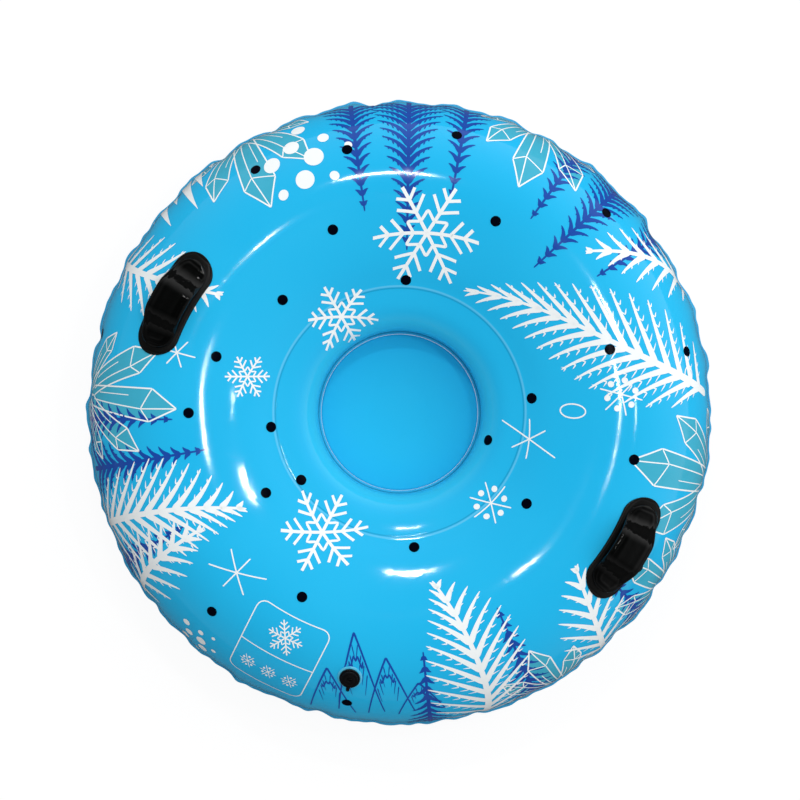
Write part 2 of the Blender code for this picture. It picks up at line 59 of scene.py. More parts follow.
class Value:
    """A number in a material's node tree, whose operators add Math nodes."""

    def __init__(self, graph: "Graph", socket: bpy.types.NodeSocket) -> None:
        """Wraps an output socket of a graph."""
        self.graph = graph
        self.socket = socket

    def math(self, operation: str, *others: Any, swap: bool = False) -> "Value":
        """A Math node of this value and others.

        Args:
            operation: the Math node's operation.
            others: numbers or values for its further sockets.
            swap: puts this value in the second socket instead of the first.

        Returns:
            The node's result.
        """
        items = [*others, self] if swap else [self, *others]
        node = self.graph.node("ShaderNodeMath", {"operation": operation}, dict(enumerate(items)))
        return Value(self.graph, node.outputs[0])

    def __add__(self, other: Any) -> "Value":
        """The sum."""
        return self.math("ADD", other)

    __radd__ = __add__

    def __mul__(self, other: Any) -> "Value":
        """The product."""
        return self.math("MULTIPLY", other)

    __rmul__ = __mul__

    def __sub__(self, other: Any) -> "Value":
        """The difference."""
        return self.math("SUBTRACT", other)

    def __rsub__(self, other: Any) -> "Value":
        """The difference, with this value taken away."""
        return self.math("SUBTRACT", other, swap=True)

    def __truediv__(self, other: Any) -> "Value":
        """The quotient."""
        return self.math("DIVIDE", other)

    def clamp(self, low: float = 0.0, high: float = 1.0) -> "Value":
        """This value held between two limits."""
        return self.math("MAXIMUM", low).math("MINIMUM", high)

    def bump(self, centre: float, width: float) -> "Value":
        """One where the value is near a centre, and gently zero a width away on both sides."""
        near = (1 - (self - centre).math("ABSOLUTE") / width).clamp()
        return near * near * (3 - 2 * near)


class Graph:
    """The node tree of a new material or sky."""

    def __init__(self, name: str, sky: bool = False) -> None:
        """Makes a material with a Principled shader alone, or a sky with a Background alone."""
        self.owner = (bpy.data.worlds if sky else bpy.data.materials).new(name)
        self.owner.use_nodes = True
        self.tree = self.owner.node_tree
        self.shader = self.tree.nodes["Background" if sky else "Principled BSDF"]

    def node(self, kind: str, settings: dict[str, Any], inputs: dict[Any, Any]) -> bpy.types.Node:
        """Adds a node.

        Args:
            kind: the node's type.
            settings: its properties.
            inputs: numbers, colours, values or sockets by socket name or index.

        Returns:
            The node.
        """
        node = self.tree.nodes.new(kind)
        for key, value in settings.items():
            setattr(node, key, value)
        self.feed(node, inputs)
        return node

    def feed(self, node: bpy.types.Node, inputs: dict[Any, Any]) -> None:
        """Sets or links a node's sockets."""
        for key, value in inputs.items():
            socket = node.inputs[key]
            if isinstance(value, Value):
                self.tree.links.new(value.socket, socket)
            elif isinstance(value, bpy.types.NodeSocket):
                self.tree.links.new(value, socket)
            elif isinstance(value, tuple) and socket.type == "RGBA":
                socket.default_value = (*value, 1.0)
            else:
                socket.default_value = value

    def vector(self, operation: str, *values: Any) -> bpy.types.bpy_prop_collection:
        """The outputs of a Vector Math node."""
        return self.node("ShaderNodeVectorMath", {"operation": operation}, dict(enumerate(values))).outputs

    def place(self) -> bpy.types.NodeSocket:
        """Object coordinates."""
        return self.node("ShaderNodeTexCoord", {}, {}).outputs["Object"]

    def section_share(self) -> Value:
        """How far along the section a sheet's point lies, from the sheet's own UV map."""
        pair = self.node("ShaderNodeUVMap", {"uv_map": "UVMap"}, {}).outputs[0]
        return Value(self, self.node("ShaderNodeSeparateXYZ", {}, {0: pair}).outputs[1])

    def noise(self, scale: float, detail: float = 3.0, roughness: float = 0.5) -> Value:
        """Noise on object coordinates, about one half on average."""
        inputs = {"Vector": self.place(), "Scale": scale, "Detail": detail, "Roughness": roughness}
        return Value(self, self.node("ShaderNodeTexNoise", {}, inputs).outputs[0])

    def creases(self, scale: float, width: float, warp: float = 0.12) -> Value:
        """Thin lines like those that folding leaves: one on a line, zero away from it."""
        inputs = {"Vector": self.place(), "Scale": scale / 2, "Detail": 2.0}
        bent = self.mix(warp, self.place(), self.node("ShaderNodeTexNoise", {}, inputs).outputs[1])
        edges = {"feature": "DISTANCE_TO_EDGE"}
        cells = self.node("ShaderNodeTexVoronoi", edges, {"Vector": bent, "Scale": scale})
        return (1 - Value(self, cells.outputs[0]) / width).clamp()

    def mix(self, factor: Any, first: Any, second: Any) -> bpy.types.NodeSocket:
        """A mix of two colours."""
        return self.node("ShaderNodeMix", {"data_type": "RGBA"}, {0: factor, 6: first, 7: second}).outputs[2]

    def finish(
        self, colour: Any, roughness: Any, height: Value, depth: float, gloss: float = 0.5
    ) -> bpy.types.Material:
        """Feeds the Principled shader.

        Args:
            colour: the base colour.
            roughness: the roughness.
            height: the surface's relief, as a share of its depth.
            depth: the depth of the relief.
            gloss: the specular level.

        Returns:
            The material.
        """
        bump = self.node("ShaderNodeBump", {}, {"Height": height, "Distance": depth, "Strength": 1.0})
        inputs = {"Base Color": colour, "Roughness": roughness, "Normal": bump.outputs[0], "IOR": VINYL_IOR}
        self.feed(self.shader, inputs | {"Specular IOR Level": gloss})
        return self.owner


# Finishes


@dataclass(frozen=True)
class Vinyl:
    """Glossy vinyl sheet: an even colour with faint clouds, fine ripples and a few fold lines.

    A sheet that the stay band is welded to has a pressed groove and ridge at weld_at, a share of its section,
    with painted shade along the groove and a painted highlight along the ridge. It has painted light towards
    the inner seam, which offsets the seat's shade. Near the outer seam it darkens by edge, painted shade.
    """

    name: str
    colour: Colour
    # A deeper tone for the faint clouds, and the painted shade near the outer seam
    shade: Colour
    roughness: float = 0.07
    ripple: float = 0.00022
    crease: float = 0.00002
    gloss: float = 0.5
    weld_at: float = -1.0
    weld_width: float = 0.009
    weld_relief: float = 0.8
    # Painted shade: edge darkens the sheet near the outer seam
    edge: float = 0.0
    rim_shade_reach: float = 0.09
    # Painted light: a paler tint towards the inner seam that offsets the shade in the seat
    pale: Colour = (0.065, 0.68, 0.93)
    seat_light_from: float = 0.85
    seat_light_strength: float = 0.75
    # Painted shade along the weld's groove and a painted highlight along its ridge
    groove_shade_tint: Colour = (0.0, 0.16, 0.36)
    groove_shade_strength: float = 0.42
    ridge_highlight_tint: Colour = (0.45, 0.85, 1.0)
    ridge_highlight_strength: float = 0.22
    cloud_scale: float = 3.2
    ripple_scale: float = 15.0
    grain_scale: float = 210.0
    grain: float = 0.03
    crease_scale: float = 9.0
    crease_width: float = 0.05
    sheen_scale: float = 14.0

    def material(self) -> bpy.types.Material:
        """Builds the material."""
        graph = Graph(self.name)
        clouds = graph.noise(self.cloud_scale, 2.0)
        colour = graph.mix((clouds - 0.35).clamp() * 1.6, self.colour, self.shade)
        height = graph.noise(self.ripple_scale, 2.0, 0.4) + graph.noise(self.grain_scale, 1.0) * self.grain
        folds = graph.creases(self.crease_scale, self.crease_width)
        height = height + folds * (self.crease / self.ripple)
        if self.weld_at > 0:
            share = graph.section_share()
            # Painted light towards the inner seam, offsetting the shade in the seat
            inward = ((share - self.seat_light_from) * 10.0).clamp()
            colour = graph.mix(inward * self.seat_light_strength, colour, self.pale)
            # Painted shade along the weld's groove and a painted highlight on its ridge, over the pressed
            # relief
            line = share.bump(self.weld_at + self.weld_width * 0.35, self.weld_width * 0.45)
            ridge = share.bump(self.weld_at - self.weld_width * 0.35, self.weld_width * 0.6)
            colour = graph.mix(line * self.groove_shade_strength, colour, self.groove_shade_tint)
            colour = graph.mix(ridge * self.ridge_highlight_strength, colour, self.ridge_highlight_tint)
            height = height + (ridge - line) * self.weld_relief
        # Painted shade: darker near the outer seam
        if self.edge > 0:
            rim = 1 - (graph.section_share() / self.rim_shade_reach).clamp()
            colour = graph.mix(rim * self.edge, colour, self.shade)
        roughness = self.roughness + (graph.noise(self.sheen_scale) - 0.5) * (self.roughness * 0.6)
        return graph.finish(colour, roughness, height, self.ripple, self.gloss)


@dataclass(frozen=True)
class SeatWeld:
    """The seat's welded ring: plain vinyl with a line of painted shade outside and a line of painted
    highlight inside.
    """

    name: str
    colour: Colour
    # Colour of the painted shade line
    dark: Colour
    # Colour of the painted highlight line
    light: Colour
    shade_line_radius: float = 0.1307
    highlight_line_radius: float = 0.1284
    width: float = 0.0010
    highlight_strength: float = 0.7
    roughness: float = 0.4
    relief: float = 0.0001
    gloss: float = 0.1
    cloud_scale: float = 9.0
    relief_scale: float = 60.0

    def material(self) -> bpy.types.Material:
        """Builds the material."""
        graph = Graph(self.name)
        flat = graph.vector("MULTIPLY", graph.place(), (1.0, 1.0, 0.0))["Vector"]
        radius = Value(graph, graph.vector("LENGTH", flat)["Value"])
        clouds = 0.8 + graph.noise(self.cloud_scale, 2.0) * 0.4
        # Painted shade line outside and painted highlight line inside
        outside = radius.bump(self.shade_line_radius, self.width) * clouds
        colour = graph.mix(outside, self.colour, self.dark)
        inside = radius.bump(self.highlight_line_radius, self.width) * clouds
        colour = graph.mix(inside * self.highlight_strength, colour, self.light)
        height = graph.noise(self.relief_scale, 2.0)
        return graph.finish(colour, self.roughness, height, self.relief, self.gloss)


@dataclass(frozen=True)
class InkFilm:
    """Screen ink on vinyl: even, with faint thin patches, as glossy as the sheet."""

    name: str
    colour: Colour
    thin: Colour
    gloss: float = 0.3
    roughness: float = 0.12
    ripple: float = 0.00022
    patch_scale: float = 26.0
    speckle_scale: float = 420.0
    sheen_scale: float = 60.0
    ripple_scale: float = 15.0
    grain_scale: float = 320.0
    grain: float = 0.06

    def material(self) -> bpy.types.Material:
        """Builds the material."""
        graph = Graph(self.name)
        patches = (graph.noise(self.patch_scale) - 0.45).clamp() * 1.5
        patches = patches + (graph.noise(self.speckle_scale, 1.0) - 0.5) * 0.12
        roughness = self.roughness + (graph.noise(self.sheen_scale) - 0.5) * 0.05
        height = graph.noise(self.ripple_scale, 2.0, 0.4) + graph.noise(self.grain_scale, 2.0) * self.grain
        colour = graph.mix(patches.clamp(), self.colour, self.thin)
        return graph.finish(colour, roughness, height, self.ripple, self.gloss)


@dataclass(frozen=True)
class Moulded:
    """Moulded black vinyl or plastic: soft waves, small dents, fine grain and duller, paler worn patches."""

    name: str
    colour: Colour
    worn: Colour
    roughness: float
    grain_scale: float
    relief: float
    dents: float = 0.0
    gloss: float = 0.05
    wear_scale: float = 55.0
    wear_dulls: float = 0.12
    wave_scale: float = 38.0
    dent_scale: float = 105.0
    grain: float = 0.05

    def material(self) -> bpy.types.Material:
        """Builds the material."""
        graph = Graph(self.name)
        wear = (graph.noise(self.wear_scale, 4.0, 0.6) - 0.52).clamp() * 2.2
        height = graph.noise(self.wave_scale, 2.0) + graph.noise(self.grain_scale, 2.0) * self.grain
        height = height + graph.noise(self.dent_scale, 2.0) * self.dents
        colour = graph.mix(wear, self.colour, self.worn)
        roughness = self.roughness + wear * self.wear_dulls
        return graph.finish(colour, roughness, height, self.relief, self.gloss)


@dataclass(frozen=True)
class Milky:
    """Milky clear vinyl, a little cloudy where it was welded."""

    name: str
    colour: Colour
    cloudy: Colour
    roughness: float = 0.2
    relief: float = 0.0001
    cloud_scale: float = 240.0
    cloud_dulls: float = 0.2
    relief_scale: float = 700.0

    def material(self) -> bpy.types.Material:
        """Builds the material."""
        graph = Graph(self.name)
        cloud = (graph.noise(self.cloud_scale) - 0.4).clamp() * 1.8
        colour = graph.mix(cloud, self.colour, self.cloudy)
        roughness = self.roughness + cloud * self.cloud_dulls
        return graph.finish(colour, roughness, graph.noise(self.relief_scale, 2.0), self.relief)


STAY_WELD = 0.7648
BLACK = (0.0002, 0.0004, 0.0004)
# The sky-blue sheet: painted shade and highlight at the weld, painted light towards the seat, painted shade
# at the rim
SKY = Vinyl(
    "sky_vinyl", (0.019, 0.505, 0.875), (0.008, 0.455, 0.835), gloss=0.36, weld_at=STAY_WELD, edge=0.12
)
# The base sheet: painted shade and a painted highlight at the weld, and painted light towards the seat
BASE = Vinyl("base_vinyl", (0.008, 0.27, 0.62), (0.008, 0.22, 0.54), roughness=0.3, weld_at=STAY_WELD)
FLOOR = Vinyl(
    "floor_vinyl", (0.022, 0.545, 0.865), (0.022, 0.535, 0.855),
    roughness=0.8, ripple=0.00004, crease=0.00001, gloss=0.1,
)
SEAM = Vinyl(
    "seam_vinyl", (0.05, 0.44, 0.72), (0.04, 0.36, 0.62), roughness=0.35, ripple=0.0003, gloss=0.2
)
# The seat's welded ring: its colour, its painted shade line and its painted highlight line
WELD = SeatWeld("weld_vinyl", (0.022, 0.535, 0.855), (0.010, 0.28, 0.50), (0.12, 0.64, 0.90))
HANDLE = Moulded(
    "handle_vinyl", BLACK, (0.0008, 0.0009, 0.0009),
    roughness=0.05, grain_scale=500.0, relief=0.0008, dents=0.3, gloss=0.22,
)
PATCH = Moulded(
    "patch_vinyl", BLACK, (0.0012, 0.0013, 0.0013),
    roughness=0.35, grain_scale=500.0, relief=0.0003, gloss=0.28,
)
PLASTIC = Moulded(
    "valve_plastic", (0.003, 0.003, 0.0035), (0.010, 0.010, 0.011),
    roughness=0.2, grain_scale=1500.0, relief=0.0001, gloss=0.2,
)
RUBBER = Moulded(
    "seal_rubber", (0.03, 0.03, 0.032), (0.06, 0.06, 0.062), roughness=0.5, grain_scale=1800.0, relief=0.0001
)
CLEAR = Milky("clear_vinyl", (0.06, 0.52, 0.80), (0.22, 0.64, 0.86))


class Ink(Enum):
    """The print's inks, in the order in which they lie on each other."""

    TEAL = "teal"
    NAVY = "navy"
    WHITE = "white"
    BLACK = "black"


INKS = {
    Ink.TEAL: InkFilm("teal_ink", (0.050, 0.43, 0.61), (0.065, 0.48, 0.69)),
    Ink.NAVY: InkFilm("navy_ink", (0.010, 0.068, 0.38), (0.012, 0.088, 0.44)),
    Ink.WHITE: InkFilm("white_ink", (0.93, 0.97, 0.98), (0.86, 0.94, 0.97)),
    Ink.BLACK: InkFilm("black_ink", (0.0006, 0.0011, 0.005), (0.001, 0.0018, 0.007), gloss=0.03),
}


# Meshes


def grid_object(
    name: str,
    points: np.ndarray,
    closed: bool = False,
    caps: bool = False,
    uv: np.ndarray | None = None,
    flip: bool = False,
) -> bpy.types.Object:
    """A mesh object from a grid of points, each row a ring, one face for each cell of neighbours.

    Args:
        name: the object's name.
        points: the grid, rows by columns by three.
        closed: the last row joins the first.
        caps: the first and last rows are filled.
        uv: a pair of numbers for each corner of the unwrapped grid, with one more row and column.
        flip: turns the faces over.

    Returns:
        The object, smooth-shaded and linked to the scene.
    """
    rows, columns = points.shape[:2]
    row, column = np.meshgrid(np.arange(rows if closed else rows - 1), np.arange(columns), indexing="ij")
    corners = [(row, column), (row, column + 1), (row + 1, column + 1), (row + 1, column)]
    quads = np.stack([(r % rows) * columns + c % columns for r, c in corners], -1).reshape(-1, 4)
    places = np.stack([np.stack(corner, -1) for corner in corners], -2).reshape(-1, 4, 2)
    if flip:
        quads, places = quads[:, ::-1], places[:, ::-1]
    faces = quads.tolist()
    if caps:
        first, last = list(range(columns)), list(range((rows - 1) * columns, rows * columns))
        faces += [first if flip else first[::-1], last[::-1] if flip else last]
    item = mesh_object(name, points.reshape(-1, 3), faces)
    if uv is not None:
        layer = item.data.uv_layers.new(name="UVMap")
        layer.data.foreach_set("uv", uv[places[..., 0], places[..., 1]].ravel())
    return item


def mesh_object(name: str, points: np.ndarray, faces: list[list[int]]) -> bpy.types.Object:
    """A smooth-shaded mesh object, linked to the scene."""
    mesh = bpy.data.meshes.new(name)
    mesh.from_pydata(points.tolist(), [], faces)
    mesh.shade_smooth()
    item = bpy.data.objects.new(name, mesh)
    bpy.context.scene.collection.objects.link(item)
    return item


def dress(
    item: bpy.types.Object, finish: bpy.types.Material, body: str = "tube", stands_for: str = ""
) -> bpy.types.Object:
    """Gives a piece its finish and its place in the part.

    Args:
        item: the piece.
        finish: its material.
        body: the body it rides on.
        stands_for: the CAD node it replaces, if any.

    Returns:
        The piece.
    """
    item.data.materials.append(finish)
    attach(item, body)
    if stands_for:
        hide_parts(stands_for)
    log.info("%s: %d faces on %s", item.name, len(item.data.polygons), body)
    return item


def smooth_step(value: np.ndarray) -> np.ndarray:
    """Three times the square less twice the cube, held between zero and one."""
    value = np.clip(value, 0.0, 1.0)
    return value * value * (3 - 2 * value)


def bell(offset: np.ndarray, reach: float) -> np.ndarray:
    """A bell curve: one at no offset, and an e-th of that at the reach."""
    return np.exp(-((offset / reach) ** 2))


def bore(item: bpy.types.Object, cutter: bpy.types.Object, crease: float = math.radians(60)) -> None:
    """Cuts a cutter out of an object, removes the cutter, and keeps edges sharp that bend past crease."""
    cut = item.modifiers.new("bore", "BOOLEAN")
    cut.operation, cut.solver, cut.object = "DIFFERENCE", "EXACT", cutter
    whole = item.data
    item.data = bpy.data.meshes.new_from_object(item.evaluated_get(bpy.context.evaluated_depsgraph_get()))
    item.data.set_sharp_from_angle(angle=crease)
    item.modifiers.remove(cut)
    bpy.data.objects.remove(cutter)
    bpy.data.meshes.remove(whole)


# The ring


@dataclass(frozen=True)
class Wave:
    """A wave round the ring: its size, its count and its phase."""

    size: float
    count: float
    phase: float

    def at(self, azimuth: np.ndarray) -> np.ndarray:
        """Size times the sine of count times the azimuth plus phase."""
        return self.size * np.sin(self.count * azimuth + self.phase)


def waves(azimuth: np.ndarray, table: Iterable[Wave]) -> np.ndarray:
    """The sum of some waves."""
    return sum(wave.at(azimuth) for wave in table)


@dataclass(frozen=True)
class RingForm:
    """The blown-up ring's surface, with the sizes of the part's source."""

    seam_radius: float = 0.502
    seat_radius: float = 0.131
    crown_shift: float = 0.036
    crown_rise: float = 0.157
    crown_powers: tuple[float, float, float] = (1.0, 0.9, 0.34)
    belly_drop: float = 0.148
    belly_overshoot: float = 0.003
    belly_powers: tuple[float, float, float] = (0.85, 0.75, 0.40)
    seam_thickness: float = 0.0016
    clearance: float = 0.0003
    pucker_count: int = 36
    pucker_depth: float = 0.0075
    pucker_reach: float = math.radians(22)
    pucker_sharpness: float = 1.5
    pucker_strength: float = 0.5
    wander: tuple[Wave, ...] = (Wave(0.45, 4, 0.6), Wave(0.3, 9, 2.1))
    swells: tuple[Wave, ...] = (Wave(0.22, 1, 0.3), Wave(0.18, 5, -0.9), Wave(0.10, 13, 1.7))
    stay_radius: float = 0.1957
    stay_depth: float = 0.0035
    stay_reach: float = math.radians(9)
    rate_step: float = math.radians(0.2)
    gather_reach: float = math.radians(16)
    gathers: tuple[Wave, ...] = (
        Wave(0.0009, 13, 0.4), Wave(0.0009, 23, 1.9), Wave(0.0008, 49, 2.7), Wave(0.0008, 61, 0.9),
        Wave(0.0007, 77, 4.1), Wave(0.0005, 97, 3.3), Wave(0.0004, 131, 5.0),
    )
    broad_sway: float = 0.0006
    slight_sway: float = 0.0004

    @property
    def ring_radius(self) -> float:
        """The radius halfway between the seams."""
        return (self.seam_radius + self.seat_radius) / 2

    @property
    def half_width(self) -> float:
        """Half the width of the section."""
        return (self.seam_radius - self.seat_radius) / 2

    @property
    def seam_height(self) -> float:
        """The height of the seams above the ground."""
        return self.belly_drop + self.seam_thickness / 2 + self.clearance

    @property
    def top_start(self) -> float:
        """The height above the ground at which the top sheet begins."""
        return self.seam_height + self.seam_thickness / 2 + self.clearance

    @property
    def stay_turn(self) -> float:
        """The turn of the section at which the stay band is welded."""
        off = self.stay_radius - self.ring_radius - self.crown_shift
        root = math.sqrt(self.half_width**2 - 4 * self.crown_shift * off)
        return math.acos((self.half_width - root) / (2 * self.crown_shift))

    def profile(self, rise: float, powers: Sequence[float], turn: Any) -> tuple[np.ndarray, np.ndarray]:
        """A half section: its rise times a power of the sine, which changes along the section.

        Args:
            rise: the half section's height.
            powers: the power at the outer seam, halfway and at the inner seam.
            turn: turns of the section.

        Returns:
            Radius, and height above the seam.
        """
        across, up = np.cos(turn), np.clip(np.sin(turn), 0.0, None)
        outer, halfway, inner = powers
        middle = (outer + inner) / 2
        power = middle + (outer - middle) * across + (halfway - middle) * up**2
        return self.ring_radius + self.half_width * across + self.crown_shift * up**2, rise * up**power

    def section(self, rise: float, powers: Sequence[float], turn: Any) -> tuple[np.ndarray, ...]:
        """Radius and height of a half section, and its outward normal from two near neighbours."""
        radius, height = self.profile(rise, powers, turn)
        before = self.profile(rise, powers, np.clip(turn - self.rate_step, 0.0, math.pi))
        after = self.profile(rise, powers, np.clip(turn + self.rate_step, 0.0, math.pi))
        out, lift = after[1] - before[1], before[0] - after[0]
        length = np.hypot(out, lift)
        return radius, height, out / length, lift / length

    def crown(self, turn: Any) -> tuple[np.ndarray, ...]:
        """Radius, height and outward normal of the top sheet's plain section."""
        return self.section(self.crown_rise, self.crown_powers, turn)

    def crown_line(self, turn: Any) -> tuple[np.ndarray, np.ndarray]:
        """Radius and height of the top sheet's plain section."""
        return self.profile(self.crown_rise, self.crown_powers, turn)

    def pucker(self, azimuth: Any, turn: Any) -> np.ndarray:
        """Folds of unlike depth at the gathered seam, each a raised cosine to a power."""
        fold = (1 - np.cos(self.pucker_count * azimuth + waves(azimuth, self.wander))) / 2
        strength = self.pucker_strength + waves(azimuth, self.swells)
        return self.pucker_depth * fold**self.pucker_sharpness * strength * bell(turn, self.pucker_reach)

    def groove(self, turn: Any) -> np.ndarray:
        """How far the stay band draws the sheet in."""
        return self.stay_depth * bell(turn - self.stay_turn, self.stay_reach)

    def hollow(self, azimuth: np.ndarray, turn: np.ndarray) -> np.ndarray:
        """How far the sheet is drawn in: puckers, fine gathers, slow sways and the stay band's groove."""
        fine = waves(azimuth, self.gathers) * bell(turn, self.gather_reach)
        broad = self.broad_sway * np.sin(3 * azimuth + 2 * turn) * np.sin(turn)
        slight = self.slight_sway * np.sin(7 * azimuth - 3 * turn + 1.0) * np.sin(turn)
        return self.pucker(azimuth, turn) + fine + (broad + slight) + self.groove(turn)

    def point(self, azimuth: Any, radius: Any, height: Any) -> np.ndarray:
        """Points from azimuth, radius and height."""
        parts = (radius * np.cos(azimuth), radius * np.sin(azimuth), height)
        return np.stack(np.broadcast_arrays(*parts), -1)

    def raised(self, azimuth: Any, turn: Any, out: Any) -> np.ndarray:
        """Points that stand off the top sheet's plain section by a distance along its normal."""
        radius, rise, out_x, out_z = self.crown(turn)
        return self.point(azimuth, radius + out * out_x, self.top_start + rise + out * out_z)

    def top(self, azimuth: np.ndarray, turn: np.ndarray, lift: Any = 0.0) -> np.ndarray:
        """Points at a lift above the top sheet."""
        return self.raised(azimuth, turn, lift - self.hollow(azimuth, turn))

    def base(self, azimuth: np.ndarray, turn: np.ndarray, lift: Any = 0.0) -> np.ndarray:
        """Points of the bottom sheet, which the ground presses flat."""
        rise = self.belly_drop + self.belly_overshoot
        radius, drop, out_x, out_z = self.section(rise, self.belly_powers, turn)
        pressed = 1 - 0.8 * smooth_step(drop / self.belly_drop * 4 - 3)
        out = lift - self.hollow(azimuth, turn) * pressed
        low = self.seam_height - self.seam_thickness / 2 - self.clearance
        height = low - np.minimum(drop + out * out_z, self.belly_drop + np.minimum(lift, 0.0))
        return self.point(azimuth, radius + out * out_x, height)

    def arc_table(self) -> tuple[np.ndarray, np.ndarray]:
        """Turns of the section, and the length along it from the outer seam to each."""
        turn = np.linspace(0.0, math.pi, 3601)
        radius, height = self.crown_line(turn)
        return turn, np.concatenate([[0.0], np.cumsum(np.hypot(np.diff(radius), np.diff(height)))])


RING = RingForm()
TURNS, ARCS = RING.arc_table()
RADII = RING.crown_line(TURNS)[0]


@dataclass(frozen=True)
class Spot:
    """A place on the top sheet as seen from above, and the way that a drawing's upright points there."""

    x: float
    y: float
    degrees: float = 90.0
    seam_margins: tuple[float, float] = (0.004, 0.002)

    def spread(self, right: np.ndarray, up: np.ndarray) -> tuple[np.ndarray, np.ndarray]:
        """Lays a flat drawing onto the ring.

        The drawing is turned, then its distances run up the section as lengths of the section, and round the
        ring as arcs of the circle at that height.

        Args:
            right: distances to the drawing's right.
            up: distances up the drawing.

        Returns:
            Azimuths and turns of the section.
        """
        azimuth = math.atan2(self.y, self.x)
        turn = math.radians(self.degrees) - azimuth - math.pi
        start = np.interp(-math.hypot(self.x, self.y), -RADII, ARCS)
        arc = start + right * math.sin(turn) + up * math.cos(turn)
        first, last = self.seam_margins
        place = np.interp(np.clip(arc, first, ARCS[-1] - last), ARCS, TURNS)
        radius = RING.crown_line(place)[0]
        return azimuth + (right * math.cos(turn) - up * math.sin(turn)) / radius, place


